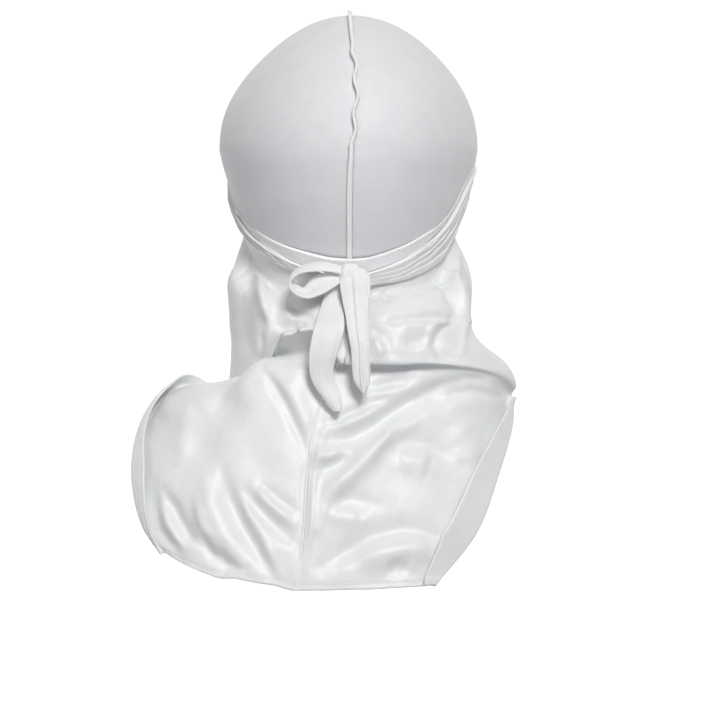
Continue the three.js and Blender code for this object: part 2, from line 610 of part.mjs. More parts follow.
// Single loop to the left of the knot: a ribbon bent into a teardrop, its far edge raised
function bowLoop() {
  const droop = -LOOP_DROOP * DEG;
  const reach = LOOP_LENGTH;
  const rootX = -KNOT_WIDTH / 2 - CLEAR / 2 + (reach / 2) * (1 - Math.cos(LOOP_ROOT * DEG));
  const face = (u, v) => {
    const angle = lerp(LOOP_ROOT, FULL_TURN - LOOP_ROOT, u) * DEG;
    const x = -(reach / 2) * (1 - Math.cos(angle));
    const z = (LOOP_HEIGHT / 2) * Math.sin(angle) * Math.sin(angle / 2) * LOOP_FULLNESS;
    const pinch = lerp(LOOP_PINCH, 1, Math.sin(angle / 2));
    const across = (v - 0.5) * LOOP_WIDTH * pinch;
    return new THREE.Vector3(
      rootX + x * Math.cos(droop) - z * Math.sin(droop),
      KNOT_Y - KNOT_DEPTH * LOOP_OUT - across * LOOP_TILT.out,
      -KNOT_DROP + KNOT_HEIGHT * LOOP_UP - x * Math.sin(droop) + z * Math.cos(droop) - across * LOOP_TILT.down,
    );
  };
  return cloth(face, TAIL_WALL, LOOP_STEPS, false);
}

// Free end of a tie: a flat tail that hangs over the cape and narrows to a point
function tail(name, length, width) {
  const rows = TAIL_ROWS[name];
  const top = -KNOT_DROP - KNOT_HEIGHT * TAIL_TOP;
  const face = (u, v) => {
    const z = top - length * u;
    const wide = width * through(rows, 'down', u, 'width');
    const middle = KNOT_WIDTH * through(rows, 'down', u, 'aside');
    const overlap = name === 'left' ? 0 : TAIL_WALL + CLEAR;
    const free = capeOutTo(z) + TAIL_WALL + CLEAR * 3 + CLOTH + overlap;
    const out = Math.max(free, KNOT_BACK - TAIL_WALL / 2 + overlap);
    const cup = TAIL_CUP * Math.cos((v - 0.5) * Math.PI);
    return new THREE.Vector3(middle + (v - 0.5) * wide, -out - cup, z);
  };
  return cloth(face, TAIL_WALL, TAIL_STEPS, false);
}

// Satin and matte cloth, one material for each piece
const satin = (color) => new THREE.MeshStandardMaterial({ color, roughness: 0.42, metalness: 0 });
const matte = (color) => new THREE.MeshStandardMaterial({ color, roughness: 0.75, metalness: 0 });

const durag = new THREE.Group();

function piece(name, geometry, material) {
  const mesh = new THREE.Mesh(geometry, material);
  mesh.name = name;
  durag.add(mesh);
}

const browHeight = (turn) => lerp(BAND_HEIGHT, BROW_HEIGHT, smoothstep(apart(turn), TIE_END, BROW_FULL));
const browEnd = FULL_TURN - BAND_END - 1;

piece('crown_left', crownPanel(-1, TAUT_LEFT), satin('#cfd0d2'));
piece('crown_right', crownPanel(1, TAUT_RIGHT), satin('#cfd0d2'));
piece('crown_seam', crownRidge(), matte('#e2e3e3'));
piece('nape_band', edgeBand(-BAND_END, BAND_END, bandHeight, BAND_STEPS), satin('#dcdddc'));
piece('brow_band', edgeBand(BAND_END + 1, browEnd, browHeight, BROW_STEPS), satin('#dcdddc'));
piece('tie_left', tie(-1), satin('#dddedd'));
piece('tie_right', tie(1), satin('#dddedd'));
piece('bow_knot', knot(), matte('#e6e7e6'));
piece('bow_loop', bowLoop(), matte('#e8e9e8'));
piece('tail_left', tail('left', LEFT_TAIL_LENGTH, LEFT_TAIL_WIDTH), matte('#e0e1df'));
piece('tail_right', tail('right', RIGHT_TAIL_LENGTH, RIGHT_TAIL_WIDTH), matte('#e8e9e9'));
piece('cape_left', capeHalf('left', -1), satin('#d7d8d9'));
piece('cape_right', capeHalf('right', 1), satin('#d7d8d9'));
piece('cape_seam', capeSeam(), matte('#e2e3e2'));

export default durag;
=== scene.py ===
import math

import bpy
import numpy as np
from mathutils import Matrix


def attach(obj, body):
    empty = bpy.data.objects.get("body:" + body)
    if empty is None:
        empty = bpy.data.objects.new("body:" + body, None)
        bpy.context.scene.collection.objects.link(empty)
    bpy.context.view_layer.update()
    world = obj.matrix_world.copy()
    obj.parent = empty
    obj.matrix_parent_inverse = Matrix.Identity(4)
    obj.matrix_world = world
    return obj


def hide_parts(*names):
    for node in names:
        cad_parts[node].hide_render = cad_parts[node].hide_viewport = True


# A white satin durag as it is worn: cap, ties, bow and neck cape.
# Every size is in millimetres until a mesh is made. The wearer faces +Y, +Z is up,
# and the origin is the inside of the cap at the top of the head.

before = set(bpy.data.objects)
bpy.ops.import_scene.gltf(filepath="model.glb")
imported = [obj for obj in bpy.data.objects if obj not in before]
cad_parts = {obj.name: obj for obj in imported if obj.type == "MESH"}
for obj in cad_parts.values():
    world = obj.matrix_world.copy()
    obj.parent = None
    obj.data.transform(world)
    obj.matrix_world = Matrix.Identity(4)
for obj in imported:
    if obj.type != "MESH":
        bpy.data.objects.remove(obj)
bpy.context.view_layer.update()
bpy.ops.object.select_all(action="DESELECT")

MM = 0.001
DEG = math.pi / 180

# Sizes of the solids

HEAD_WIDTH = 163.0
HEAD_LENGTH = 190.0
HEAD_BACK_SHARE = 0.51
WIDEST_DROP = 85.0
NAPE_DROP = 95.0
CLOTH = 1.2
CLEAR = 0.5
BAND_DROP = 157.5
BAND_HEIGHT = 9.0
BROW_HEIGHT = 12.0
BAND_WALL = 2.0
BAND_END = 114.0
NAPE_TURNS = (-BAND_END, BAND_END)
BROW_TURNS = (BAND_END + 1, 359 - BAND_END)
RIDGE_HEIGHT = 4.4
RIDGE_WALL = 1.7
RIDGE_LAID = 0.7
SEAM_SHIFT = 5.2
SEAM_WAVE = 1.1
TAUT = {"left": 3.6, "right": 2.4}
TIE_WALL = 1.2
PLEAT_DEPTH = 1.5
PLEATS = 4
TIE_END = 126.0
KNOT_WIDTH = 15.0
KNOT_HEIGHT = 18.0
KNOT_DEPTH = 10.0
KNOT_DROP = 168.0
LOOP_WIDTH = 13.0
LOOP_WALL = 1.7
TAIL_WALL = 1.4
CAPE_LENGTH = 183.0
CAPE_SPREAD = 49.0
CAPE_REACH = 130.0
CAPE_WRAP = 80.0
TURN_RADIUS = 2.1
TURN_WIDTH = 22.0
TURN_FROM = 5.7
TURN_ROWS = 1.5
TURN_CORNER = 0.3
CAPE_SEAM = {"width": 2.0, "height": 0.75, "bumps": 2.6}
LIFT_SPAN = {"left": (0, 0.15, 0.37, 0.53), "right": (0.1, 0.55, 0.8, 1)}
HEM = 5.0
FOLD_GAIN = {"upper": 1.25, "lower": 1.3}
HOLLOW = {"left": 1.0, "right": 8.0}
GATHER_GAIN = {"left": 1.0, "right": 1.7}
GATHER_SEED = {"left": 11, "right": 5}
EDGE_GAP = CLEAR * 1.7
HALF_GAP = CLEAR * 0.8
TIE_LIFT = CLOTH + CLEAR
SIDES = {"left": -1, "right": 1}

# Stitches, and where their rows run: distances from a hem, the share of a band's height with the
# distance from there, and grid columns of the ties and tails
STITCH_LENGTH = 2.0
STITCH_SPACE = 0.8
STITCH_THICK = 0.42
STITCH_PROUD = 0.12
HEM_STITCHES = (1.1, 3.9)
BAND_STITCHES = ((0, 1.9), (1, -1.6))
TIE_STITCHES = (4, 60)
TAIL_STITCHES = {"left": (2, 5, 37), "right": (3, 36)}

# Rows down the cape over which each zone's folds come in and the upper ones fade out, and where
# the hollow under its roll starts and how far it goes
ZONE_IN = {"upper": (0.95, 1.3), "lower": (6.0, 6.6)}
UPPER_OUT = (4.7, 5.1)
HOLLOW_START = 1.3
HOLLOW_ROWS = 3.2

# Least and most of a gather: its width as a share of the half's, its reach in rows, its height,
# and the step to the next one in widths
GATHER_WIDE = (0.008, 0.022)
GATHER_REACH = (0.3, 1.6)
GATHER_HEIGHT = (0.2, 0.9)
GATHER_STEP = (2.6, 5.5)

# Crumple of loose cloth: height, seed and size of its waves
CRUMPLES = [(0.45, 3, 34.0), (0.05, 8, 9.0)]

# Steps of each grid, along and across
CROWN_STEPS = (150, 80)
RIDGE_STEPS = (1500, 12)
TIE_STEPS = (300, 64)
CAPE_STEPS = (130, 24, 220)
KNOT_STEPS = (40, 72)
LOOP_STEPS = (150, 24)
TAIL_STEPS = (150, 40)

# Head form below its widest level: drop, then side, back and front shares
NAPE_ROWS = {
    "drop": [0.0, 0.105, 0.25, 0.37, 0.52, 0.75, 1.0, 1.6],
    "side": [1.0, 0.972, 0.92, 0.888, 0.835, 0.775, 0.755, 0.75],
    "back": [1.0, 0.992, 0.955, 0.915, 0.85, 0.74, 0.69, 0.68],
    "front": [1.0, 0.995, 0.98, 0.96, 0.93, 0.9, 0.88, 0.88],
}

# Edges round the head on either side, by turn from the back
EDGE_TURNS = [0, 12, 33, 45, 54, 63, 76, 90, 115, 140, 180]
BAND_SHARES = [1.0, 1.0, 0.9, 0.7, 0.6, 0.6, 0.6, 0.75, 1.0, 1.0, 1.0]
EDGE_ROWS = {
    "left": {
        "turn": EDGE_TURNS,
        "top": [1.0, 0.992, 0.952, 0.921, 0.892, 0.857, 0.785, 0.69, 0.54, 0.46, 0.395],
        "band": BAND_SHARES,
        "tie": [1.095, 1.08, 1.04, 1.01, 0.972, 0.932, 0.875, 0.8, 0.68, 0.6, 0.52],
        "hang": [1.126, 1.122, 1.091, 1.086, 1.066, 1.023, 0.92, 0.83, 0.71, 0.63, 0.56],
    },
    "right": {
        "turn": EDGE_TURNS,
        "top": [1.0, 0.99, 0.94, 0.897, 0.86, 0.8, 0.665, 0.575, 0.5, 0.445, 0.395],
        "band": BAND_SHARES,
        "tie": [1.108, 1.106, 1.077, 1.051, 1.025, 0.995, 0.9, 0.765, 0.64, 0.58, 0.52],
        "hang": [1.126, 1.122, 1.095, 1.086, 1.066, 1.023, 0.92, 0.8, 0.67, 0.61, 0.56],
    },
}

# Cape down its centre seam, row by row
CAPE_ROWS = {
    "fall": [0.05, 0.13, 0.2, 0.245, 0.235, 0.3, 0.42, 0.61, 0.82, 1.0],
    "out": [0.12, 0.3, 0.48, 0.5, 0.3, 0.36, 0.52, 0.7, 0.88, 1.0],
    "sway": [0.0, 0.0, -0.01, -0.02, -0.04, -0.08, -0.15, -0.19, -0.21, -0.245],
}

# Cape at its free sides, row for row with the table above
SIDE_ROWS = {
    "left": {
        "fall": [-0.06, 0.1, 0.25, 0.33, 0.335, 0.335, 0.44, 0.6, 0.78, 0.88],
        "reach": [0.57, 0.57, 0.575, 0.59, 0.62, 0.83, 0.955, 1.0, 0.955, 0.87],
        "deep": [0.1, 0.12, 0.16, 0.18, 0.16, 0.3, 0.45, 0.62, 0.74, 0.8],
        "wrap": [88, 87, 84, 80, 78, 72, 68, 64, 62, 60],
        "turned": [0.05, 0.05, 0.05, 0.05, 0.12, 0.3, 0.3, 0.55, 0.3, 0.05],
        "rise": [0.0, 0.0, 0.075, 0.12, 0.045, 0.06, 0.0, 0.0, 0.02, 0.015],
        "swell": [0.0, 0.0, 0.0, 0.02, -0.14, 0.02, 0.02, 0.0, 0.0, 0.0],
    },
    "right": {
        "fall": [-0.06, 0.13, 0.24, 0.31, 0.345, 0.375, 0.47, 0.62, 0.82, 0.985],
        "reach": [0.6, 0.61, 0.765, 0.81, 0.785, 0.765, 0.75, 0.685, 0.575, 0.395],
        "deep": [0.1, 0.12, 0.24, 0.3, 0.28, 0.34, 0.44, 0.6, 0.76, 0.9],
        "wrap": [88, 87, 80, 77, 75, 72, 69, 66, 63, 60],
        "turned": [0.05, 0.05, 0.05, 0.05, 0.02, 0.12, 0.75, 1.15, 1.25, 0.3],
        "rise": [0.0, 0.0, 0.0, 0.02, 0.02, 0.02, 0.0, 0.0, 0.0, 0.0],
        "swell": [0.0, 0.0, 0.0, 0.0, 0.12, 0.08, 0.0, 0.0, 0.0, 0.0],
    },
}

# Tails of the bow, from the top down: height, left and right edge, and how far the middle
# swells out from what it hangs over
TAIL_ROWS = {
    "left": {
        "z": [-172.2, -180.4, -190.0, -199.6, -208.5, -216.8, -224.3, -231.8, -238.0, -243.5, -247.6, -251.1],
        "from_x": [-12.8, -14.9, -18.0, -20.9, -22.9, -24.0, -24.0, -22.5, -19.0, -14.9, -12.2, -9.1],
        "to_x": [-5.8, -4.6, -2.8, -2.3, -4.6, -6.9, -8.8, -8.2, -5.8, -3.9, -3.6, -4.6],
        "swell": [0.0, -0.6, 0.6, 2.4, 3.6, 3.2, 1.6, 0.4, 0.6, 1.4, 1.2, 0.6],
    },
    "right": {
        "z": [-161.9, -163.9, -168.0, -173.5, -182.4, -192.7, -203.0, -213.3, -223.6, -230.5, -235.3, -239.7],
        "from_x": [-0.8, -2.5, -4.4, -5.0, -3.6, -1.5, 0.0, 1.9, 2.5, 3.3, 5.3, 9.1],
        "to_x": [5.3, 10.8, 13.4, 14.0, 13.0, 12.3, 12.6, 13.4, 13.7, 13.7, 12.9, 10.5],
        "swell": [-5.0, -2.0, 0.8, 2.2, 1.8, 1.4, 1.4, 1.6, 1.4, 1.0, 0.8, 0.4],
    },
}

# Loop of the bow: near and far edge of its ribbon, as (x, z) from the knot round and back
LOOP_NEAR = [(-1.2, -167.0), (-13.2, -164.6), (-24.8, -165.0), (-31.7, -167.0), (-35.5, -170.8),
             (-36.0, -174.9), (-32.1, -179.0), (-24.8, -181.1), (-16.6, -178.7), (-9.8, -174.9),
             (-1.6, -169.4)]
LOOP_FAR = [(-0.5, -162.9), (-13.2, -159.0), (-23.5, -159.7), (-31.0, -162.6), (-35.1, -166.3),
            (-34.5, -170.1), (-31.0, -172.8), (-27.2, -173.9), (-22.1, -168.0), (-13.2, -165.0),
            (-1.6, -166.3)]

# Folds of each cape half above and below its roll: height (negative goes in), half width on
# either side of the fold's line, and the line's places (x, z)
CAPE_FOLDS = {
    ("left", "upper"): [
        (-5.0, 3.2, 4.2, [(-51.2, -157.7), (-54.5, -166.4), (-54.3, -174.2), (-50.2, -184.4),
         (-47.6, -198.3)]),
        (2.2, 6.0, 6.0, [(-62.5, -157.2), (-65.8, -181.7), (-64.2, -206.9), (-58.3, -220.8)]),
        (1.6, 3.0, 2.5, [(-53.3, -200.7), (-54.4, -213.3), (-59.0, -223.3)]),
        (2.6, 4.0, 3.0, [(-48.0, -171.6), (-40.1, -184.5), (-28.7, -197.1)]),
        (2.4, 3.0, 3.5, [(-28.7, -198.4), (-37.4, -199.6), (-46.3, -199.5)]),
        (1.4, 2.4, 2.4, [(-38.9, -180.7), (-30.0, -189.0), (-19.9, -195.3)]),
        (-1.6, 2.4, 2.4, [(-40.7, -185.8), (-35.0, -193.3), (-27.4, -195.2)]),
        (-2.0, 4.0, 4.0, [(-71.7, -157.0), (-73.3, -181.4), (-72.4, -213.2)]),
    ],
    ("left", "lower"): [
        (2.4, 3.2, 3.6, [(-52.8, -225.1), (-45.2, -235.6), (-38.3, -246.7), (-31.4, -261.4),
         (-25.2, -276.1)]),
        (-1.6, 7.0, 6.0, [(-44.7, -228.2), (-34.6, -243.0), (-27.1, -259.0), (-22.8, -272.4)]),
        (1.8, 4.0, 4.0, [(-44.7, -220.7), (-36.0, -218.9), (-27.3, -219.5), (-21.7, -223.8)]),
        (-2.6, 9.0, 9.0, [(-78.4, -239.4), (-94.9, -244.4), (-110.3, -249.6), (-120.4, -257.1)]),
        (2.0, 12.0, 12.0, [(-60.9, -235.0), (-82.5, -256.7), (-97.6, -287.4)]),
        (-1.2, 6.0, 6.0, [(-97.4, -246.9), (-101.9, -263.0), (-103.4, -282.6)]),
        (1.8, 5.0, 4.0, [(-120.3, -293.9), (-120.7, -308.6), (-117.9, -324.5), (-104.6, -337.6)]),
        (-1.8, 4.0, 4.0, [(-113.7, -306.0), (-111.0, -319.4), (-100.8, -335.1)]),
        (3.0, 5.0, 4.0, [(-114.4, -299.9), (-107.9, -313.2), (-99.6, -326.5), (-91.4, -333.1)]),
        (-2.4, 5.0, 4.0, [(-93.6, -305.7), (-88.4, -323.9), (-78.4, -342.0)]),
        (2.6, 4.0, 4.0, [(-90.9, -323.9), (-83.3, -337.2), (-74.6, -344.4), (-63.5, -347.9)]),
        (3.2, 6.0, 5.0, [(-77.6, -287.3), (-74.4, -302.5), (-66.2, -319.5), (-57.5, -332.7),
         (-47.6, -349.7)]),
        (-2.6, 5.0, 4.0, [(-67.6, -303.1), (-60.1, -315.8), (-52.0, -329.7), (-42.1, -349.1)]),
        (3.0, 5.0, 4.0, [(-62.6, -300.6), (-54.6, -311.5), (-42.8, -322.4), (-31.2, -333.3)]),
        (-2.0, 4.0, 4.0, [(-57.7, -296.9), (-47.8, -307.8), (-33.0, -320.0)]),
        (2.0, 4.0, 4.0, [(-52.8, -296.9), (-42.9, -305.4), (-31.2, -312.7)]),
        (-2.4, 6.0, 6.0, [(-87.5, -293.4), (-84.8, -308.7), (-77.2, -326.8), (-66.0, -343.1)]),
        (2.0, 3.0, 2.0, [(-14.2, -252.8), (-21.5, -268.8), (-26.4, -290.8), (-27.5, -317.5),
         (-31.1, -347.8)]),
    ],
    ("right", "upper"): [
        (-4.0, 3.2, 3.6, [(70.5, -153.2), (67.4, -172.1), (66.6, -191.8), (70.6, -214.5)]),
        (2.2, 4.0, 3.0, [(57.4, -160.0), (60.3, -175.5), (61.4, -189.4)]),
        (2.6, 3.0, 3.6, [(14.8, -197.8), (26.7, -198.4), (39.8, -195.8), (52.4, -193.9), (59.5, -194.4)]),
        (2.6, 3.0, 3.0, [(59.5, -194.4), (59.4, -200.7), (53.5, -206.4), (52.2, -211.4), (57.1, -215.8),
         (71.0, -220.1)]),
        (-2.4, 4.0, 4.0, [(53.7, -199.5), (49.1, -205.2), (47.2, -210.8)]),
        (2.0, 2.6, 3.4, [(13.6, -201.5), (22.3, -208.4), (26.6, -215.8)]),
        (1.6, 3.0, 3.0, [(32.8, -210.2), (40.9, -210.8), (49.7, -208.9)]),
        (-2.0, 4.0, 4.0, [(14.8, -207.1), (19.8, -214.6), (22.2, -218.3)]),
        (-2.0, 5.0, 5.0, [(27.3, -203.4), (38.5, -203.3), (47.3, -201.4)]),
        (2.0, 5.0, 5.0, [(75.1, -156.9), (75.3, -181.5), (80.1, -203.5)]),
    ],
    ("right", "lower"): [
        (-2.2, 3.4, 5.0, [(-11.1, -255.3), (-17.2, -272.4), (-22.1, -293.2), (-23.2, -317.5),
         (-27.4, -349.1)]),
        (4.4, 7.0, 6.0, [(80.1, -230.1), (59.1, -236.3), (44.0, -243.7), (29.7, -251.7), (17.3, -260.9),
         (2.5, -267.0), (-16.0, -269.4)]),
        (-4.4, 6.0, 7.0, [(60.9, -241.9), (43.3, -251.1), (27.8, -263.4), (16.0, -275.0), (6.2, -285.3),
         (-4.9, -295.7), (-13.5, -306.6), (-18.3, -322.4)]),
        (2.4, 4.0, 4.0, [(95.1, -242.2), (77.5, -238.9), (62.8, -241.9), (48.3, -248.7), (35.9, -257.2),
         (28.4, -265.2), (22.2, -275.0)]),
        (2.0, 4.0, 4.0, [(40.9, -231.3), (27.2, -234.4), (13.6, -236.8)]),
        (-1.8, 5.0, 5.0, [(37.2, -235.6), (22.3, -241.2), (8.6, -246.7)]),
        (2.4, 4.0, 4.0, [(29.7, -239.9), (13.6, -246.7), (0.0, -254.1), (-14.8, -259.0)]),
        (-2.6, 4.0, 4.0, [(22.2, -247.3), (7.4, -254.7), (-8.6, -261.4)]),
        (2.6, 5.0, 4.0, [(2.5, -278.6), (-8.6, -284.7), (-20.3, -288.3)]),
        (-2.6, 4.0, 4.0, [(-2.5, -274.9), (-11.1, -278.6), (-20.3, -280.4)]),
        (2.2, 7.0, 6.0, [(21.0, -276.2), (32.1, -270.1), (50.7, -272.7), (69.4, -285.2)]),
        (-2.0, 9.0, 9.0, [(29.6, -282.4), (39.5, -281.2), (51.9, -283.7)]),
        (1.8, 6.0, 6.0, [(-12.2, -306.6), (1.3, -304.8), (17.2, -308.5)]),
        (-1.8, 6.0, 6.0, [(-13.4, -315.1), (-2.4, -315.8), (8.6, -317.6)]),
        (3.4, 7.0, 7.0, [(-15.8, -345.4), (-1.2, -337.0), (14.8, -328.6), (33.2, -324.5), (54.8, -327.7)]),
        (-3.6, 9.0, 10.0, [(1.3, -345.5), (19.7, -337.1), (38.1, -333.6), (56.6, -339.9)]),
        (2.2, 5.0, 5.0, [(23.3, -351.7), (30.7, -346.3), (38.0, -350.6)]),
        (-2.0, 8.0, 8.0, [(64.6, -256.8), (75.8, -269.3), (79.4, -287.8)]),
    ],
}

# Camera, as in the photograph

CAMERA_DISTANCE = 2.4
CAMERA_LENS = 186.9
CAMERA_AIM = (0.0074, 0.0, -0.2195)

camera = bpy.data.objects.new("camera", bpy.data.cameras.new("camera"))
bpy.context.scene.collection.objects.link(camera)
camera.location = (CAMERA_AIM[0], -CAMERA_DISTANCE, CAMERA_AIM[2])
camera.rotation_euler = (math.pi / 2, 0, 0)
camera.data.lens = CAMERA_LENS
camera.data.sensor_width = 36
camera.data.clip_end = 100
bpy.context.scene.camera = camera

# Numbers and curves


def smoothstep(x, low, high):
    t = np.clip((np.asarray(x, float) - low) / (high - low), 0, 1)
    return t * t * (3 - 2 * t)


def mix(a, b, share):
    return a + (b - a) * share


def through(rows, key, at, column):
    """Smooth value through the rows of a table, at places along its key column."""
    keys = np.array(rows[key], float)
    values = np.array(rows[column], float)
    place = np.clip(at, keys[0], keys[-1])
    i = np.clip(np.searchsorted(keys, place, side="left") - 1, 0, len(keys) - 2)
    before = np.maximum(i - 1, 0)
    after = np.minimum(i + 2, len(keys) - 1)
    span = keys[i + 1] - keys[i]
    slope_a = (values[i + 1] - values[before]) / (keys[i + 1] - keys[before])
    slope_b = (values[after] - values[i]) / (keys[after] - keys[i])
    t = (place - keys[i]) / span
    tt = t * t
    ttt = tt * t
    start = (2 * ttt - 3 * tt + 1) * values[i] + (ttt - 2 * tt + t) * span * slope_a
    return start + (3 * tt - 2 * ttt) * values[i + 1] + (ttt - tt) * span * slope_b


def through_points(knots, t):
    """Smooth points through a stack of knot rows (rows, n, 3), at places counted in rows."""
    i = np.clip(np.floor(t).astype(int), 0, len(knots) - 2)
    s = (t - i)[..., None]
    n = np.broadcast_to(np.arange(knots.shape[1]), t.shape)
    before = knots[np.maximum(i - 1, 0), n]
    here = knots[i, n]
    ahead = knots[i + 1, n]
    after = knots[np.minimum(i + 2, len(knots) - 1), n]
    ss = s * s
    sss = ss * s
    start = here * (2 * sss - 3 * ss + 1) + (ahead - before) * 0.5 * (sss - 2 * ss + s)
    return start + ahead * (3 * ss - 2 * sss) + (after - here) * 0.5 * (sss - ss)


def unit(v):
    return v / np.maximum(np.linalg.norm(v, axis=-1, keepdims=True), 1e-9)


def run_along(path):
    """Distance along a path at each of its points."""
    return np.concatenate([[0], np.cumsum(np.linalg.norm(np.diff(path, axis=0), axis=1))])


def points_at(places, keys, rows):
    """Each column of the rows, read at places between their keys."""
    return np.stack([np.interp(places, keys, rows[:, k]) for k in range(3)], axis=-1)


def normals_of(points):
    """Normal at each point of a grid, from its slopes."""
    return unit(np.cross(np.gradient(points, axis=0), np.gradient(points, axis=1)))


def ripple(x, y, seed, size):
    """Soft irregular relief from a few crossing waves, about -1 to 1."""
    rng = np.random.default_rng(seed)
    total = np.zeros(np.broadcast(x, y).shape)
    for _ in range(7):
        angle = rng.uniform(0, 2 * math.pi)
        wave = size * rng.uniform(0.6, 1.7)
        phase = rng.uniform(0, 2 * math.pi)
        total += np.sin((x * math.cos(angle) + y * math.sin(angle)) * 2 * math.pi / wave + phase)
    return total / 3.2


# Head form and edges

LEVEL_DROP = WIDEST_DROP * math.pi / 2


def level_of(z):
    z = np.asarray(z, float)
    upper = np.arccos(np.clip(1 + z / WIDEST_DROP, -1, 1)) / (math.pi / 2)
    return np.where(z > -WIDEST_DROP, upper, 1 + (-WIDEST_DROP - z) / LEVEL_DROP)


def form_at(turn, level, lift):
    """Point on the head form: level 0 is the top, 1 the widest, more goes on to the nape."""
    turn = np.asarray(turn, float) * DEG
    ahead = np.cos(turn) < 0
    length = HEAD_LENGTH * np.where(ahead, 1 - HEAD_BACK_SHARE, HEAD_BACK_SHARE)
    rim = np.sin(np.minimum(level, 1) * math.pi / 2)
    upper = -WIDEST_DROP + (WIDEST_DROP + lift) * np.cos(level * math.pi / 2)
    z = np.where(level < 1, upper, -WIDEST_DROP - (level - 1) * LEVEL_DROP)
    drop = np.maximum(0, -WIDEST_DROP - z) / NAPE_DROP
    side = through(NAPE_ROWS, "drop", drop, "side") * HEAD_WIDTH / 2
    front = through(NAPE_ROWS, "drop", drop, "front")
    back = through(NAPE_ROWS, "drop", drop, "back")
    end = np.where(ahead, front, back) * length
    x = (side + lift) * rim * np.sin(turn)
    y = -(end + lift) * rim * np.cos(turn)
    return np.stack(np.broadcast_arrays(x, y, z), axis=-1)


def form_at_height(turn, z, lift):
    return form_at(turn, level_of(z), lift)


def apart(turn):
    return 180 - np.abs(180 - np.abs(turn))


def edge_at(turn, column):
    turn = np.asarray(turn, float)
    left = through(EDGE_ROWS["left"], "turn", apart(turn), column)
    right = through(EDGE_ROWS["right"], "turn", apart(turn), column)
    return np.where(np.sin(turn * DEG) < 0, left, right)


def band_top(turn):
    return -BAND_DROP * edge_at(turn, "top")


def band_height(turn):
    return BAND_HEIGHT * edge_at(turn, "band")


def tie_top(turn):
    return band_top(turn) - band_height(turn) - CLEAR


def tie_foot(turn):
    return -BAND_DROP * edge_at(turn, "tie")


def hang_from(turn):
    return -BAND_DROP * edge_at(turn, "hang")


def crown_foot(turn):
    return band_top(turn) + EDGE_GAP


def cape_top(turn):
    return tie_top(turn) - CLOTH * 0.7


def seam_place(signed):
    """Sideways place of the cap's middle seam on its way from the brow to the nape."""
    shift = SEAM_SHIFT * (0.42 + 0.58 * np.exp(-((signed - 0.8) ** 2) / 0.06))
    wave = SEAM_WAVE * np.cos(2 * math.pi * (signed - 0.63) / 0.16)
    return shift + wave * smoothstep(signed, 0.45, 0.6) * (1 - smoothstep(signed, 0.95, 1.08))


# Cape

NAPE_BACK = -float(form_at_height(0, hang_from(0), CLOTH)[1])
CAPE_DEPTH = NAPE_BACK + CAPE_SPREAD
FIRST_ROW = 2
LAST_ROW = FIRST_ROW + len(CAPE_ROWS["fall"]) - 1


def cape_face(name, u, t):
    """Smooth outer face of a cape half: u from the seam to the free side, t down its rows."""
    side = SIDES[name]
    edge = SIDE_ROWS[name]
    turn = side * u * CAPE_WRAP
    foot = hang_from(turn) - CLEAR * 3
    shift = np.stack([side * HALF_GAP * (1 - u), 0 * u, 0 * u], axis=-1)
    knots = [form_at_height(turn, foot + CAPE_LENGTH * 0.04, CLOTH) + shift]
    knots.append(form_at_height(turn, foot, CLOTH) + shift)
    start, full, fading, end = LIFT_SPAN[name]
    lifted = smoothstep(u, start, full) * (1 - smoothstep(u, fading, end))
    for row in range(len(CAPE_ROWS["fall"])):
        wrap = edge["wrap"][row] * DEG
        angle = u * wrap
        seam_x = CAPE_ROWS["sway"][row] * CAPE_REACH
        edge_x = side * edge["reach"][row] * CAPE_REACH
        seam_y = NAPE_BACK + CAPE_ROWS["out"][row] * CAPE_SPREAD
        edge_y = edge["deep"][row] * CAPE_DEPTH
        bow = (np.cos(angle) - math.cos(wrap)) / (1 - math.cos(wrap))
        rise = edge["rise"][row] * lifted
        fall = mix(CAPE_ROWS["fall"][row], edge["fall"][row], u * u * (1.6 - 0.6 * u)) - rise
        x = seam_x + (edge_x - seam_x) * np.sin(angle) / math.sin(wrap) + side * HALF_GAP
        swell = edge["swell"][row] * CAPE_SPREAD * lifted
        y = -mix(edge_y, seam_y, bow) - swell
        knots.append(np.stack([x, y, hang_from(0) - fall * CAPE_LENGTH], axis=-1))
    hung = through_points(np.stack(knots), t)
    under = form_at_height(turn, mix(cape_top(turn), foot, np.clip(t, 0, 1)), CLOTH) + shift
    return np.where((t <= 1)[..., None], under, hung)


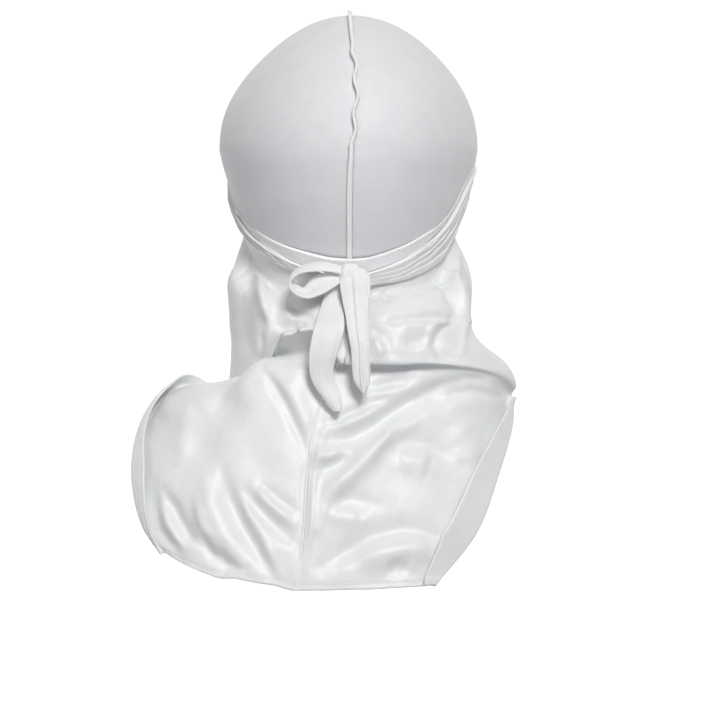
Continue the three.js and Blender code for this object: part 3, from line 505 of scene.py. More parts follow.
def cape_grid(name, columns, turned, rows):
    """Points of a cape half with its turned edge, and the t and u of each."""
    side = SIDES[name]
    fine = np.linspace(0, LAST_ROW, 600)
    run = cape_face(name, np.full(1, 0.5), fine[:, None])[:, 0]
    length = run_along(run)
    t = np.interp(np.linspace(0, length[-1], rows + 1), length, fine)[:, None]
    u = np.linspace(0, 1, columns + 1)
    t_all = np.broadcast_to(t, (rows + 1, columns + 1))
    main = cape_face(name, u, t_all)
    fold = main[:, -1]
    one = np.array([1.0])
    outward = unit(fold - cape_face(name, one * 0.985, t)[:, 0])
    down = cape_face(name, one, np.minimum(t + 0.05, LAST_ROW))[:, 0]
    down = down - cape_face(name, one, np.maximum(t - 0.05, 0))[:, 0]
    normal = unit(np.cross(outward, down)) * side
    row = np.clip(t[:, 0] - FIRST_ROW, 0, len(CAPE_ROWS["fall"]) - 1)
    width = TURN_WIDTH * np.interp(row, np.arange(10), SIDE_ROWS[name]["turned"])
    turning = smoothstep(t[:, 0], TURN_FROM, TURN_FROM + TURN_ROWS)
    corner = smoothstep(t[:, 0], LAST_ROW - TURN_ROWS, LAST_ROW)
    bend = mix(-7, 172, turning) * DEG
    arc = math.pi * TURN_RADIUS * mix(TURN_CORNER, 1, turning * (1 - corner))
    curl = arc / np.where(np.abs(bend) < 1e-3, 1e-3, bend)
    strip = []
    for share in np.linspace(0, 1, turned + 1)[1:]:
        angle = bend * min(share * 2, 1)
        straight = width * max(share * 2 - 1, 0)
        out = curl * np.sin(angle) + straight * np.cos(bend)
        back = curl * (1 - np.cos(angle)) + straight * np.sin(bend)
        strip.append(fold + outward * out[:, None] - normal * back[:, None])
    points = np.concatenate([main, np.stack(strip, axis=1)], axis=1)
    u_all = np.concatenate([u, 1 + np.linspace(0, 1, turned + 1)[1:]])
    return points, np.broadcast_to(u_all, points.shape[:2]), np.broadcast_to(t, points.shape[:2])


def fold_relief(points, height, wide_left, wide_right, line):
    """Relief of one fold: a soft ridge along a line seen from behind, tapered at both ends."""
    line = np.array(line, float)
    spans = np.diff(line, axis=0)
    lengths = np.linalg.norm(spans, axis=1)
    starts = np.concatenate([[0], np.cumsum(lengths)])
    x = points[..., 0]
    z = points[..., 2]
    best = np.full(x.shape, 1e9)
    signed = np.zeros(x.shape)
    share = np.zeros(x.shape)
    for k, (dx, dz) in enumerate(spans):
        ox = x - line[k, 0]
        oz = z - line[k, 1]
        s = np.clip((ox * dx + oz * dz) / lengths[k] ** 2, 0, 1)
        distance = np.hypot(ox - s * dx, oz - s * dz)
        nearer = distance < best
        best = np.where(nearer, distance, best)
        signed = np.where(nearer, dx * oz - dz * ox, signed)
        share = np.where(nearer, (starts[k] + s * lengths[k]) / starts[-1], share)
    wide = np.where(signed > 0, wide_left, wide_right)
    taper = 0.25 + 0.75 * smoothstep(np.minimum(share, 1 - share), 0.0, 0.3)
    return height * taper * np.exp(-((best / (wide * (0.6 + 0.4 * taper))) ** 2))


def dress(name, points, u, t):
    """Folds, gathers and crumple of a cape half, laid on its smooth face."""
    normals = normals_of(points) * -SIDES[name]
    relief = np.zeros(points.shape[:2])
    zones = {
        "upper": smoothstep(t, *ZONE_IN["upper"]) * (1 - smoothstep(t, *UPPER_OUT)),
        "lower": smoothstep(t, *ZONE_IN["lower"]),
    }
    for zone, within in zones.items():
        for height, wide_left, wide_right, line in CAPE_FOLDS[name, zone]:
            relief += FOLD_GAIN[zone] * within * fold_relief(points, height, wide_left, wide_right, line)
    rng = np.random.default_rng(GATHER_SEED[name])
    place = 0.03
    while place < 0.97:
        wide = rng.uniform(*GATHER_WIDE)
        reach = rng.uniform(*GATHER_REACH)
        height = rng.uniform(*GATHER_HEIGHT)
        bent = place + 0.03 * np.sin(t * 1.7 + place * 30)
        fade = smoothstep(t, 0.9, 1.3) * (1 - smoothstep(t, 1.4, 1.6 + reach))
        relief += GATHER_GAIN[name] * height * fade * np.exp(-(((u - bent) / wide) ** 2))
        place += wide * rng.uniform(*GATHER_STEP)
    sag = np.sin(math.pi * np.clip((t - HOLLOW_START) / HOLLOW_ROWS, 0, 1)) ** 2
    relief -= HOLLOW[name] * sag * smoothstep(u, 0.03, 0.2) * (1 - smoothstep(u, 0.65, 0.92))
    worn = smoothstep(t, 1, 2)
    for height, seed, size in CRUMPLES:
        relief += height * ripple(points[..., 0], points[..., 2], seed, size) * worn
    seam_fade = smoothstep(u, 0, 0.03)
    edge_fade = 1 - smoothstep(u, 0.97, 1.0)
    relief = relief * np.maximum(seam_fade, 0.35) * edge_fade
    spans = np.linalg.norm(np.diff(points, axis=0), axis=2)[::-1]
    to_hem = np.concatenate([np.zeros((1, points.shape[1])), np.cumsum(spans, axis=0)])[::-1]
    run = run_along(points[-1])
    hem = 1 - smoothstep(to_hem, HEM - 0.5, HEM + 0.3)
    draw = np.sin(run / 7.3 + 2.6 * np.sin(run / 19)) + 0.6 * np.sin(run / 2.9 + 1.7 * np.sin(run / 11))
    pucker = 0.14 * draw * np.exp(-(((to_hem - HEM) / 4.5) ** 2))
    relief = relief + 0.35 * hem + pucker * (u <= 1)
    return points + normals * relief[..., None]


# Meshes


def cloth_lengths(points):
    """UV in metres along both ways of a grid, so that a weave keeps its size."""
    along = np.linalg.norm(np.diff(points, axis=0), axis=-1).mean(axis=1)
    across = np.linalg.norm(np.diff(points, axis=1), axis=-1).mean(axis=0)
    v = np.concatenate([[0], np.cumsum(along)]) * MM
    u = np.concatenate([[0], np.cumsum(across)]) * MM
    return np.stack(np.meshgrid(u, v), axis=-1)


def link(mesh, name):
    piece = bpy.data.objects.new(name, mesh)
    bpy.context.scene.collection.objects.link(piece)
    return piece


def select_only(piece):
    bpy.ops.object.select_all(action="DESELECT")
    piece.select_set(True)
    bpy.context.view_layer.objects.active = piece


def mesh_from(name, points, faces, uvs, materials):
    """A piece from points in millimetres, a list of faces, and one UV for each point."""
    mesh = bpy.data.meshes.new(name)
    mesh.from_pydata((points * MM).tolist(), [], faces)
    layer = mesh.uv_layers.new(name="cloth")
    index = np.empty(len(mesh.loops), int)
    mesh.loops.foreach_get("vertex_index", index)
    layer.data.foreach_set("uv", uvs[index].astype(np.float32).ravel())
    for material in materials:
        mesh.materials.append(material)
    mesh.polygons.foreach_set("use_smooth", np.ones(len(mesh.polygons), bool))
    mesh.update()
    return link(mesh, name)


def grid_faces(rows, columns, flip=False, around=False):
    i, j = np.meshgrid(np.arange(rows - 1), np.arange(columns if around else columns - 1), indexing="ij")
    k = (j + 1) % columns
    here = i * columns
    below = here + columns
    quads = np.stack([here + j, here + k, below + k, below + j], axis=-1).reshape(-1, 4)
    return quads[:, ::-1] if flip else quads


def cloth_piece(name, points, flip, materials):
    """A sheet from a grid of its outer face, with its thickness behind it."""
    rows, columns = points.shape[:2]
    uvs = cloth_lengths(points).reshape(-1, 2)
    faces = grid_faces(rows, columns, flip).tolist()
    piece = mesh_from(name, points.reshape(-1, 3), faces, uvs, materials)
    select_only(piece)
    solidify = piece.modifiers.new("wall", "SOLIDIFY")
    solidify.thickness = CLOTH * MM
    solidify.offset = -1
    solidify.use_even_offset = False
    solidify.material_offset = 1
    bpy.ops.object.modifier_apply(modifier="wall")
    return piece


def shell_piece(name, outer, inner, flip, material):
    """A closed body between two grids of points that share their edges' run."""
    rows, columns = outer.shape[:2]
    count = rows * columns
    quads = grid_faces(rows, columns, flip)
    at = np.arange(count).reshape(rows, columns)
    ring = np.concatenate([at[0, :-1], at[:-1, -1], at[-1, :0:-1], at[:0:-1, 0]])
    after = np.roll(ring, -1)
    rim = np.stack([ring, ring + count, after + count, after], axis=-1)
    rim = rim[:, ::-1] if flip else rim
    faces = np.concatenate([quads, quads[:, ::-1] + count, rim])
    uvs = np.tile(cloth_lengths(outer).reshape(-1, 2), (2, 1))
    points = np.concatenate([outer.reshape(-1, 3), inner.reshape(-1, 3)])
    return mesh_from(name, points, faces.tolist(), uvs, [material])


def tube_piece(name, rings, material):
    """A closed cord of rings (n, around, 3), capped at both ends."""
    n, around = rings.shape[:2]
    points = rings.reshape(-1, 3)
    ends = np.stack([rings[0].mean(axis=0), rings[-1].mean(axis=0)])
    faces = grid_faces(n, around, flip=True, around=True).tolist()
    first = len(points)
    for j in range(around):
        k = (j + 1) % around
        faces.append([first, j, k])
        faces.append([first + 1, (n - 1) * around + k, (n - 1) * around + j])
    lengths = cloth_lengths(rings).reshape(-1, 2)
    uvs = np.concatenate([lengths, lengths[[0, -1]]])
    return mesh_from(name, np.concatenate([points, ends]), faces, uvs, [material])


def stitch_row(path, normals):
    """Points and faces of a row of stitches laid along a path on cloth."""
    length = run_along(path)
    count = max(int(length[-1] / (STITCH_LENGTH + STITCH_SPACE)), 1)
    centres = (np.arange(count) + 0.5) * length[-1] / count
    shape = [(-0.5, 0.0), (-0.36, 0.8), (0.0, 1.0), (0.36, 0.8), (0.5, 0.0)]
    around = 5
    points = []
    faces = []
    for centre in centres:
        base = len(points)
        for along, girth in shape:
            at = np.clip(centre + along * STITCH_LENGTH, 0, length[-1])
            spot = points_at(at, length, path)
            ahead = points_at(min(at + 0.4, length[-1]), length, path)
            behind = points_at(max(at - 0.4, 0), length, path)
            up = unit(points_at(at, length, normals))
            beside = unit(np.cross(up, ahead - behind))
            for k in range(around):
                angle = 2 * math.pi * k / around
                lift = STITCH_PROUD * (1 - 4 * along * along) - STITCH_THICK * 0.25
                offset = beside * math.cos(angle) * STITCH_THICK * 0.5 * girth
                offset = offset + up * (math.sin(angle) * STITCH_THICK * 0.5 * girth + lift)
                points.append(spot + offset)
        for ring in range(len(shape) - 1):
            for k in range(around):
                a = base + ring * around + k
                b = base + ring * around + (k + 1) % around
                faces.append([a, b, b + around, a + around])
    return np.array(points), np.array(faces)


def stitches_piece(name, rows):
    """One piece of thread from several stitch rows."""
    points = np.concatenate([row[0] for row in rows])
    faces = []
    start = 0
    for row in rows:
        faces.append(row[1] + start)
        start += len(row[0])
    faces = np.concatenate(faces).tolist()
    uvs = points[:, [0, 2]] * MM
    piece = mesh_from(name, points, faces, uvs, [seam_thread])
    select_only(piece)
    bpy.ops.object.mode_set(mode="EDIT")
    bpy.ops.mesh.select_all(action="SELECT")
    bpy.ops.mesh.remove_doubles(threshold=0.000002)
    bpy.ops.mesh.normals_make_consistent(inside=False)
    bpy.ops.object.mode_set(mode="OBJECT")
    return piece


# Materials


def colour(hex_value):
    parts = [int(hex_value[i:i + 2], 16) / 255 for i in (1, 3, 5)]
    return [p / 12.92 if p <= 0.04045 else ((p + 0.055) / 1.055) ** 2.4 for p in parts] + [1.0]


def add(tree, kind, settings=(), links=()):
    """Adds a node, sets what settings names, and links each socket to its source."""
    node = tree.nodes.new(kind)
    for key, value in dict(settings).items():
        if isinstance(key, int) or key in node.inputs:
            node.inputs[key].default_value = value
        else:
            setattr(node, key, value)
    for key, source in dict(links).items():
        tree.links.new(source, node.inputs[key])
    return node


def cloth_material(name, base, shade, rough, gloss, sheen, anisotropic, thread, weave, crumple):
    """Woven or knitted cloth: threads a real distance apart, soft mottling and fine crumple."""
    material = bpy.data.materials.new(name)
    material.use_nodes = True
    tree = material.node_tree
    tree.nodes.clear()
    uv = add(tree, "ShaderNodeUVMap", {"uv_map": "cloth"})
    place = add(tree, "ShaderNodeTexCoord")
    split = add(tree, "ShaderNodeSeparateXYZ", links={0: uv.outputs[0]})
    waves = []
    for axis in (0, 1):
        turns = add(tree, "ShaderNodeMath", {"operation": "MULTIPLY", 1: 2 * math.pi / (thread * MM)},
                    {0: split.outputs[axis]})
        waves.append(add(tree, "ShaderNodeMath", {"operation": "SINE"}, {0: turns.outputs[0]}))
    woven = add(tree, "ShaderNodeMath", {"operation": "MULTIPLY"},
                {0: waves[0].outputs[0], 1: waves[1].outputs[0]})
    mottle = add(tree, "ShaderNodeTexNoise", {"Scale": 90.0, "Detail": 4.0, "Roughness": 0.6},
                 {"Vector": place.outputs["Object"]})
    crumpled = add(tree, "ShaderNodeTexNoise", {"Scale": 260.0, "Detail": 5.0, "Roughness": 0.55},
                   {"Vector": place.outputs["Object"]})
    tint = add(tree, "ShaderNodeMix", {"data_type": "RGBA", 6: colour(base), 7: colour(shade)},
               {0: mottle.outputs["Fac"]})
    streaks = add(tree, "ShaderNodeMapping", {"Scale": (900.0, 160.0, 1.0)}, {"Vector": uv.outputs[0]})
    slubs = add(tree, "ShaderNodeTexNoise", {"Scale": 1.0, "Detail": 3.0, "Roughness": 0.6},
                {"Vector": streaks.outputs[0]})
    worn = add(tree, "ShaderNodeMapRange", {"From Min": 0.25, "From Max": 0.75, "To Min": rough - 0.07,
                                            "To Max": rough + 0.09}, {"Value": slubs.outputs["Fac"]})
    weave_bump = add(tree, "ShaderNodeBump", {"Strength": weave, "Distance": 0.0001},
                     {"Height": woven.outputs[0]})
    slub_bump = add(tree, "ShaderNodeBump", {"Strength": crumple, "Distance": 0.0004},
                    {"Height": slubs.outputs["Fac"], "Normal": weave_bump.outputs[0]})
    crumple_bump = add(tree, "ShaderNodeBump", {"Strength": crumple, "Distance": 0.0012},
                       {"Height": crumpled.outputs["Fac"], "Normal": slub_bump.outputs[0]})
    tangent = add(tree, "ShaderNodeTangent", {"direction_type": "UV_MAP", "uv_map": "cloth"})
    shader = add(
        tree, "ShaderNodeBsdfPrincipled",
        {"IOR": 1.5, "Specular IOR Level": gloss, "Sheen Weight": sheen, "Sheen Roughness": 0.5,
         "Anisotropic": anisotropic},
        {"Base Color": tint.outputs[2], "Roughness": worn.outputs[0], "Normal": crumple_bump.outputs[0],
         "Tangent": tangent.outputs[0]},
    )
    add(tree, "ShaderNodeOutputMaterial", links={0: shader.outputs[0]})
    return material


# Threads are drawn 0.3 to 0.7 mm apart, because real ones are too fine to show

# Stretched polyester satin: smooth floats with a soft broad sheen, slightly grey
crown_satin = cloth_material("stretched_satin", "#e2e3e4", "#d9dadc",
                             rough=0.55, gloss=0.35, sheen=0.1, anisotropic=0.3,
                             thread=0.5, weave=0.15, crumple=0.1)
# The same satin doubled and pressed flat: whiter, since two layers let less light through
band_satin = cloth_material("doubled_satin", "#ededee", "#e6e6e8",
                            rough=0.55, gloss=0.35, sheen=0.1, anisotropic=0.2,
                            thread=0.5, weave=0.2, crumple=0.12)
# Loose satin with light wear: glossy, with bright bands along its folds
cape_satin = cloth_material("loose_satin", "#ebecec", "#e3e4e5",
                            rough=0.36, gloss=0.45, sheen=0.05, anisotropic=0.4,
                            thread=0.5, weave=0.15, crumple=0.16)
# Back of the satin: the short cotton-like floats scatter light and look matte and warm
satin_back = cloth_material("satin_back", "#f6f6f3", "#efefeb",
                            rough=0.85, gloss=0.2, sheen=0.2, anisotropic=0.0,
                            thread=0.6, weave=0.4, crumple=0.15)
# Narrow ties washed soft: little gloss, a visible rib of thread
tie_cloth = cloth_material("soft_tie_cloth", "#f0f0f0", "#e7e7e8",
                           rough=0.65, gloss=0.3, sheen=0.2, anisotropic=0.0,
                           thread=0.7, weave=0.4, crumple=0.2)
# Spun polyester thread: matte, with a bright fuzz
seam_thread = cloth_material("spun_thread", "#fcfcfb", "#f6f6f5",
                             rough=0.75, gloss=0.2, sheen=0.35, anisotropic=0.0,
                             thread=0.3, weave=0.5, crumple=0.15)

# Cap


def crown_points(name, rows, columns):
    """Grid of a cap panel's outer face: a patch between the seam and the cap's edge."""
    side = SIDES[name]
    front_turn = 128
    back_turn = 46
    u = np.linspace(0, 1, rows + 1)[:, None]
    v = np.linspace(0, 1, columns + 1)[None, :]

    def edge(turn):
        turn = np.asarray(turn, float)
        level = level_of(crown_foot(side * turn))
        return np.stack([level * np.sin(turn * DEG), -level * np.cos(turn * DEG)], axis=-1)

    front = edge(mix(180, front_turn, v))
    back = edge(mix(0, back_turn, v))
    seam = np.stack([0 * u, mix(edge(180)[1], edge(0)[1], u)], axis=-1)
    rim = edge(mix(front_turn, back_turn, u))
    one_u = (1 - u)[..., None]
    one_v = (1 - v)[..., None]
    corners = edge(180) * one_u * one_v + edge(0) * u[..., None] * one_v
    corners = corners + edge(front_turn) * one_u * v[..., None]
    corners = corners + edge(back_turn) * u[..., None] * v[..., None]
    flat = front * one_u + back * u[..., None] + seam * one_v + rim * v[..., None] - corners
    level = np.linalg.norm(flat, axis=-1)
    turn = np.where(level < 1e-6, mix(180, 0, u), np.arctan2(flat[..., 0], -flat[..., 1]) / DEG)
    pucker = 0.35 * np.exp(-v * 26) * np.sin(u * 2 * math.pi * 26 + 3 * np.sin(u * 40))
    point = form_at(turn, level, CLOTH + pucker)
    slack = TAUT[name] * np.sin(math.pi * np.minimum(level * 1.1, 1)) ** 2 * np.sin(turn * DEG) ** 2
    beside = side * (np.maximum(point[..., 0] - slack, 0) + CLEAR / 2)
    point[..., 0] = beside + seam_place(-flat[..., 1]) * (1 - v) ** 2
    point[..., 2] -= slack * 0.5
    return point


for name, side in SIDES.items():
    points = crown_points(name, *CROWN_STEPS)
    piece = cloth_piece(f"crown_panel_{name}", points, side > 0, [crown_satin, satin_back])
    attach(piece, "root")
    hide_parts(f"crown_{name}")


def ridge_rings(steps, around):
    """Overlocked seam allowance that stands up along the cap's middle."""
    start = float(level_of(crown_foot(180)))
    reach = float(level_of(crown_foot(0)))
    base = CLOTH + CLEAR * 1.2
    u = np.linspace(0, 1, steps + 1)
    signed = mix(-start, reach, u)
    turn = np.where(signed < 0, 180, 0)
    foot = form_at(turn, np.abs(signed), base)
    height = RIDGE_HEIGHT * (0.8 + 0.2 * np.cos(u * 3))
    tip = form_at(turn, np.abs(signed), base + height)
    up = unit(tip - foot)
    tall = np.linalg.norm(tip - foot, axis=1)
    lean = 0.35 * np.sin(11 * u + 0.6) - 0.25 - RIDGE_LAID * smoothstep(u, 0.6, 0.9)
    run = run_along(foot)
    x_axis = np.array([1.0, 0, 0])
    rings = []
    for k in range(around):
        angle = 2 * math.pi * k / around
        across = math.cos(angle)
        high = 0.5 + 0.5 * math.sin(angle)
        stitch = 0.22 * np.sin(2 * math.pi * (run / 1.7 + 0.5 * high * np.sign(across)))
        half = RIDGE_WALL * (0.5 + 0.16 * high) + stitch * (0.4 + high)
        rise = tall * high + stitch * 0.5 * high
        middle = foot + up * (rise * np.cos(lean))[:, None]
        middle[:, 0] = seam_place(signed) + np.sin(lean) * rise
        rings.append(middle + x_axis * (half * across)[:, None])
    return np.stack(rings, axis=1)


piece = tube_piece("crown_seam_overlock", ridge_rings(*RIDGE_STEPS), seam_thread)
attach(piece, "root")
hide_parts("crown_seam")


def band_shell(name, from_turn, to_turn, height, steps, nodes):
    """Flat sewn band: a doubled strip with soft edges and a sunk stitch line."""
    turn = np.linspace(from_turn, to_turn, steps + 1)[:, None]
    v = np.linspace(0, 1, 17)[None, :]
    tall = height(turn)
    z = band_top(turn) - tall * v
    ease = np.minimum(np.minimum(v, 1 - v) * tall / 1.1, 1)
    soft = np.sqrt(1 - (1 - ease) ** 2)
    run = turn * 1.5
    from_stitches = v * tall - BAND_STITCHES[0][1]
    sunk = 0.3 * np.exp(-(from_stitches / 0.6) ** 2)
    pull = 0.12 * np.sin(run * 2 * math.pi / 2.9) * np.exp(-(from_stitches / 1.6) ** 2)
    lift = BAND_WALL * (0.5 + 0.42 * soft) - sunk + pull
    outer = form_at_height(turn, z, lift)
    inner = form_at_height(turn, z, BAND_WALL * 0.45 * (1 - soft))
    piece = shell_piece(name, outer, inner, False, band_satin)
    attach(piece, "root")
    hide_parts(nodes)


def brow_height(turn):
    return mix(BAND_HEIGHT, BROW_HEIGHT, smoothstep(apart(turn), TIE_END, 165))


band_shell("nape_band_sewn", *NAPE_TURNS, band_height, 460, "nape_band")
band_shell("brow_band_sewn", *BROW_TURNS, brow_height, 220, "brow_band")

# Ties


def tie_grid(name, steps, across):
    side = SIDES[name]
    knot_x = form_at_height(90, -KNOT_DROP, 0)[0]
    knot_turn = math.asin((KNOT_WIDTH / 2 + CLEAR) / knot_x) / DEG
    turn = np.linspace(TIE_END, knot_turn, steps + 1)[:, None]
    v = np.linspace(0, 1, across + 1)[None, :]
    gather_in = smoothstep(turn, knot_turn - 8, knot_turn + 26)
    top = tie_top(side * turn)
    tall = (top - tie_foot(side * turn)) * mix(0.85, 1, gather_in)
    rise = (1 - gather_in) * CLEAR * 3
    z = top - tall * v
    wander = 0.05 * np.sin(turn * 0.09 + 5 * v) + 0.02 * np.sin(turn * 0.31 + 2)
    phase = (v + wander) * PLEATS
    lip = phase - np.floor(phase)
    shingle = smoothstep(lip, 0.0, 0.16) * (1 - 0.55 * smoothstep(lip, 0.16, 1.0))
    ends = np.minimum(np.minimum(v, 1 - v) / 0.05, 1)
    pleat = PLEAT_DEPTH * (shingle * 0.85 + 0.12 * np.sin(turn * 0.5 + phase * 2)) * ends
    outer = form_at_height(side * turn, z, TIE_LIFT + rise + TIE_WALL * (0.5 + 0.5 * ends) + pleat)
    inner = form_at_height(side * turn, z, TIE_LIFT + rise + 0 * v)
    return outer, inner


ties = {}
for name, side in SIDES.items():
    outer, inner = tie_grid(name, *TIE_STEPS)
    ties[name] = outer
    piece = shell_piece(f"tie_{name}_pleated", outer, inner, side > 0, tie_cloth)
    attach(piece, "root")
    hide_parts(f"tie_{name}")

# Cape

cape = {}
for name, side in SIDES.items():
    points, u, cape_t = cape_grid(name, *CAPE_STEPS)
    points = dress(name, points, u, cape_t)
    cape[name] = points
    piece = cloth_piece(f"cape_half_{name}", points, side > 0, [cape_satin, satin_back])
    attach(piece, "root")
    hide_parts(f"cape_{name}")

# Bow

KNOT_BACK = -float(form_at_height(0, -KNOT_DROP + KNOT_HEIGHT / 2, BAND_WALL + CLEAR)[1])
KNOT_Y = -(KNOT_BACK + KNOT_DEPTH / 2)


def out_to(z, from_x, to_x):
    """How far out the cape comes above each height, over a span of x."""
    points = np.concatenate([cape[name].reshape(-1, 3) for name in SIDES])
    beside = points[(points[:, 0] > from_x - 2) & (points[:, 0] < to_x + 2)]
    order = np.argsort(-beside[:, 2])
    heights = -beside[order, 2]
    reach = np.maximum.accumulate(-beside[order, 1])
    return np.interp(-np.asarray(z), heights, reach)


def soft_strip(name, points, wall, edge):
    """A folded strip of cloth round a grid of its middle, thinner at its two long edges."""
    normals = normals_of(points)
    columns = points.shape[1]
    v = np.linspace(0, 1, columns)
    near = np.minimum(np.minimum(v, 1 - v) / edge, 1)
    half = wall / 2 * (0.3 + 0.7 * np.sqrt(1 - (1 - near) ** 2))[None, :, None]
    return shell_piece(name, points + normals * half, points - normals * half, False, tie_cloth)


def tail_points(name, steps, across):
    rows = TAIL_ROWS[name]
    s = np.linspace(0, 1, steps + 1)
    table = {"at": np.linspace(0, 1, len(rows["z"])), **rows}
    z, left, right, swell = (through(table, "at", s, column) for column in rows)
    layer = 0 if name == "left" else TAIL_WALL + CLEAR
    hung = out_to(z, left.min(), right.max()) + TAIL_WALL + CLEAR * 2
    lowest = KNOT_BACK + KNOT_DEPTH * (0.55 if name == "right" else 0.25)
    out = np.maximum(hung, lowest) + layer
    padded = np.pad(out, 8, mode="edge")
    out = np.max([padded[k:k + len(out)] for k in range(17)], axis=0)
    for _ in range(3):
        out = np.convolve(np.pad(out, 7, mode="edge"), np.ones(15) / 15, mode="valid")
    out = out + swell
    v = np.linspace(0, 1, across + 1)[None, :]
    x = left[:, None] + (right - left)[:, None] * v
    cup = 1.3 * np.sin(math.pi * v)
    if name == "right":
        fold = 0.38 + 0.1 * np.sin(s * 3)[:, None]
        ribs = 0.22 * np.sin(2 * math.pi * (x + 0.06 * z[:, None]) / 2.1) * smoothstep(v, 0.4, 0.55)
        cup = cup + 1.3 * smoothstep(v, fold - 0.06, fold + 0.05) - 0.7 * v + ribs
    else:
        cup = cup + 0.5 * np.sin(s * 9 + 1)[:, None] * np.sin(2 * math.pi * v)
        cup = cup + 0.25 * np.sin(2 * math.pi * v * 3) * v
    edge_lip = 0.35 * (np.exp(-((v * 14 - 1.3) ** 2)) + np.exp(-(((1 - v) * 14 - 1.3) ** 2)))
    y = -(out[:, None] + cup - edge_lip * 0.6)
    return np.stack([x, y, np.broadcast_to(z[:, None], x.shape)], axis=-1)


def spline(line, steps):
    line = np.array(line, float)
    knots = line[:, None, :]
    return through_points(knots, np.linspace(0, len(line) - 1, steps + 1)[:, None])[:, 0]


def loop_points(steps, across):
    near = spline([(x, 0, z) for x, z in LOOP_NEAR], steps)
    far = spline([(x, 0, z) for x, z in LOOP_FAR], steps)
    s = np.linspace(0, 1, steps + 1)[:, None]
    v = np.linspace(0, 1, across + 1)[None, :]
    root = np.minimum(np.minimum(s, 1 - s) * 5, 1)
    depth = LOOP_WIDTH * 0.8 * (0.35 + 0.65 * root)
    points = far[:, None] + (near - far)[:, None] * v[..., None]
    mid_y = KNOT_Y - KNOT_DEPTH * 0.05
    lower = smoothstep(s, 0.45, 0.6)
    bulge = np.sin(math.pi * v) * mix(0.7, -0.9, lower)
    points[..., 1] = mid_y - (v - 0.5) * depth - 0.8 * lower * root
    points[..., 2] += bulge + 0.25 * np.sin(v * 2 * math.pi * 2 + s * 6) * root
    return points


def knot_points(rings, around):
    """Soft lump of wrapped cloth with creases that run over it from top to bottom."""
    a = np.linspace(0.02, math.pi - 0.02, rings)[:, None]
    b = np.linspace(0, 2 * math.pi, around, endpoint=False)[None, :]
    x = np.sign(np.cos(b)) * np.abs(np.cos(b)) ** 0.8
    y = np.sin(b) * np.ones_like(a)
    crease = 1 + 0.045 * np.sin(x * 9 + 1.4 * np.cos(a)) * np.sin(a)
    px = 1.5 + KNOT_WIDTH * 0.5 * x * np.sin(a) ** 0.7 * crease
    py = KNOT_Y + KNOT_DEPTH * 0.5 * y * np.sin(a) ** 0.7 * crease
    pz = -KNOT_DROP + KNOT_HEIGHT * 0.48 * np.cos(a) + 0 * b
    return np.stack(np.broadcast_arrays(px, py, pz), axis=-1)


piece = tube_piece("bow_knot_wrap", knot_points(*KNOT_STEPS), tie_cloth)
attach(piece, "root")
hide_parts("bow_knot")

piece = soft_strip("bow_loop_ribbon", loop_points(*LOOP_STEPS), LOOP_WALL, 0.16)
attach(piece, "root")
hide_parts("bow_loop")

tails = {}
for name in SIDES:
    tails[name] = tail_points(name, *TAIL_STEPS)
    piece = soft_strip(f"tail_{name}_strip", tails[name], TAIL_WALL, 0.1)
    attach(piece, "root")
    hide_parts(f"tail_{name}")

# Seams and stitches


def seam_cord(name, path, up, beside, width, height, bumps):
    """A narrow raised seam along a path, with its stitches pulling it in."""
    run = run_along(path)
    rings = []
    for k in range(10):
        angle = 2 * math.pi * k / 10
        pull = 1 - 0.16 * np.cos(2 * math.pi * run / bumps) * max(math.sin(angle), 0)
        across = beside * (math.cos(angle) * width / 2)
        rings.append(path + across + up * (math.sin(angle) * height * pull)[:, None])
    return tube_piece(name, np.stack(rings, axis=1), seam_thread)


def even(path, step):
    """The same path with its points a given distance apart."""
    run = run_along(path)
    at = np.linspace(0, run[-1], int(run[-1] / step) + 1)
    return points_at(at, run, path)


def inset(points, distance, end):
    """Path on a grid at a distance from its last row or column."""
    grid = points if end == "row" else points.transpose(1, 0, 2)
    grid = grid[::-1]
    run = np.cumsum(np.linalg.norm(np.diff(grid, axis=0), axis=2), axis=0)
    run = np.concatenate([np.zeros((1, grid.shape[1])), run])
    path = [[np.interp(distance, run[:, j], grid[:, j, k]) for k in range(3)] for j in range(grid.shape[1])]
    return np.array(path)


def stitched(points, path, lift, flip):
    """Stitch row along a path that lies on a grid's face."""
    path = even(path, 0.8)
    flat = points.reshape(-1, 3)
    normals = normals_of(points).reshape(-1, 3) * (-1 if flip else 1)
    near = np.array([int(np.argmin(((flat - p) ** 2).sum(axis=1))) for p in path[::4]])
    picked = normals[near]
    place = np.arange(len(near)) * 4
    smooth = unit(points_at(np.arange(len(path)), place, picked))
    return stitch_row(path + smooth * lift, smooth)


seam_path = (cape["left"][:, 0] + cape["right"][:, 0]) / 2
seam_path = even(seam_path[cape_t[:, 0] > FIRST_ROW - 0.6], 0.5)
seam_ahead = unit(np.gradient(seam_path, axis=0))
seam_up = unit(np.cross(seam_ahead, np.array([1.0, 0, 0])))
seam_up = seam_up * np.where(seam_up[:, 1:2] > 0, -1, 1)
seam_beside = unit(np.cross(seam_up, seam_ahead))
piece = seam_cord("cape_seam_felled", seam_path - seam_up * 0.25, seam_up, seam_beside, **CAPE_SEAM)
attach(piece, "root")
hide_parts("cape_seam")

rows = []
for name, side in SIDES.items():
    flip = side < 0
    for distance in HEM_STITCHES:
        rows.append(stitched(cape[name], inset(cape[name], distance, "row"), 0.05, flip))
        free = inset(cape[name], distance, "column")
        rows.append(stitched(cape[name], free[cape_t[:, 0] > 5.5], -CLOTH - 0.05, flip))
piece = stitches_piece("cape_hem_stitches", rows)
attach(piece, "root")

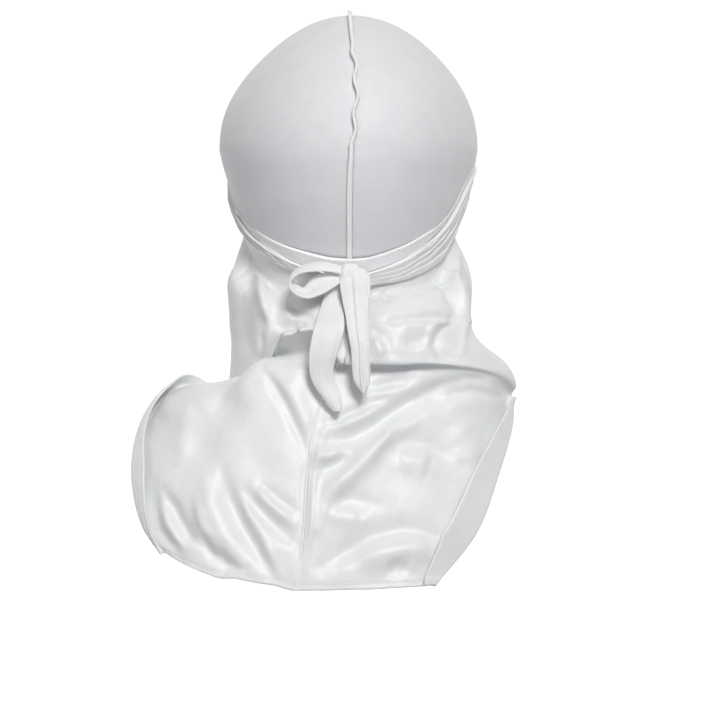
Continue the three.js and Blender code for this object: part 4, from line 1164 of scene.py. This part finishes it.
rows = []
for turns, height in ((NAPE_TURNS, band_height), (BROW_TURNS, brow_height)):
    for share, inward in BAND_STITCHES:
        turn = np.linspace(*turns, 500)
        drop = height(turn) * share + inward
        path = form_at_height(turn, band_top(turn) - drop, BAND_WALL - 0.22)
        outward = form_at_height(turn, band_top(turn) - drop, BAND_WALL + 1)
        rows.append(stitch_row(path, unit(outward - path)))
piece = stitches_piece("band_stitches", rows)
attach(piece, "root")

rows = []
for name, side in SIDES.items():
    flip = side > 0
    for column in TIE_STITCHES:
        rows.append(stitched(ties[name], ties[name][:, column], 0.05, flip))
for name, columns in TAIL_STITCHES.items():
    for column in columns:
        rows.append(stitched(tails[name], tails[name][3:-6, column], TAIL_WALL * 0.42, False))
piece = stitches_piece("tie_stitches", rows)
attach(piece, "root")

# Stage

FLOOR_DROP = -0.62
FLOOR_END = 0.6
SWEEP_BACK = 3.4
SWEEP_RISE = 1.5
SWEEP_TOP = 8.0
SWEEP_HALF = 7.0
SWEEP_STEPS = 24
# Where the paper grades from grey to white, and the strength of its painted glow
GRADE_FROM = 0.2
GRADE_TO = 1.4
PAINTED_GLOW = 0.62
LIGHT_AIM = (0.0, 0.0, -0.2)

sweep = [(-SWEEP_HALF, FLOOR_DROP), (FLOOR_END, FLOOR_DROP)]
for k in range(1, SWEEP_STEPS + 1):
    angle = k / SWEEP_STEPS * math.pi / 2
    along = FLOOR_END + (SWEEP_BACK - FLOOR_END) * math.sin(angle)
    sweep.append((along, FLOOR_DROP + SWEEP_RISE * (1 - math.cos(angle))))
sweep.append((SWEEP_BACK, SWEEP_TOP))
sweep_points = [(x, y, z) for y, z in sweep for x in (-SWEEP_HALF, SWEEP_HALF)]
sweep_faces = [(2 * k, 2 * k + 1, 2 * k + 3, 2 * k + 2) for k in range(len(sweep) - 1)]
sweep_mesh = bpy.data.meshes.new("backdrop")
sweep_mesh.from_pydata(sweep_points, [], sweep_faces)
sweep_mesh.polygons.foreach_set("use_smooth", np.ones(len(sweep_faces), bool))

# Studio paper: pale grey on the floor, grading to white where it runs up behind, with a painted glow there
# (the paper itself emits light)
paper = bpy.data.materials.new("backdrop_paper")
paper.use_nodes = True
tree = paper.node_tree
place = add(tree, "ShaderNodeTexCoord")
split = add(tree, "ShaderNodeSeparateXYZ", links={0: place.outputs["Object"]})
tone_and_glow = add(tree, "ShaderNodeMapRange",
          {"interpolation_type": "SMOOTHSTEP", "From Min": GRADE_FROM, "From Max": GRADE_TO},
          {"Value": split.outputs[1]})
tone = add(tree, "ShaderNodeMix", {"data_type": "RGBA", 6: colour("#bcbdbf"), 7: colour("#f4f4f4")},
           {0: tone_and_glow.outputs[0]})
# Painted glow: the paper emits light, strongest where it runs up behind
painted_glow = add(tree, "ShaderNodeMath", {"operation": "MULTIPLY", 1: PAINTED_GLOW}, {0: tone_and_glow.outputs[0]})
shader = tree.nodes["Principled BSDF"]
shader.inputs["Roughness"].default_value = 0.9
shader.inputs["Emission Color"].default_value = colour("#ffffff")
tree.links.new(tone.outputs[2], shader.inputs["Base Color"])
tree.links.new(painted_glow.outputs[0], shader.inputs["Emission Strength"])
sweep_mesh.materials.append(paper)
backdrop = link(sweep_mesh, "backdrop")

world = bpy.data.worlds.new("pale_room")
world.use_nodes = True
world.node_tree.nodes["Background"].inputs[0].default_value = colour("#f4f5f7")
world.node_tree.nodes["Background"].inputs[1].default_value = 0.25
bpy.context.scene.world = world
bpy.context.scene.view_settings.view_transform = "Standard"


def area_light(name, place, size, power):
    light = bpy.data.lights.new(name, "AREA")
    light.shape = "RECTANGLE"
    light.size = size[0]
    light.size_y = size[1]
    light.energy = power
    holder = bpy.data.objects.new(name, light)
    bpy.context.scene.collection.objects.link(holder)
    holder.location = place
    direction = holder.location.copy()
    for axis in range(3):
        direction[axis] -= LIGHT_AIM[axis]
    holder.rotation_euler = direction.to_track_quat("Z", "Y").to_euler()


area_light("key", place=(0.5, -2.1, 1.3), size=(0.8, 0.8), power=47)
area_light("fill", place=(-1.6, -1.7, 0.6), size=(0.5, 1.4), power=6)

bpy.context.view_layer.update()
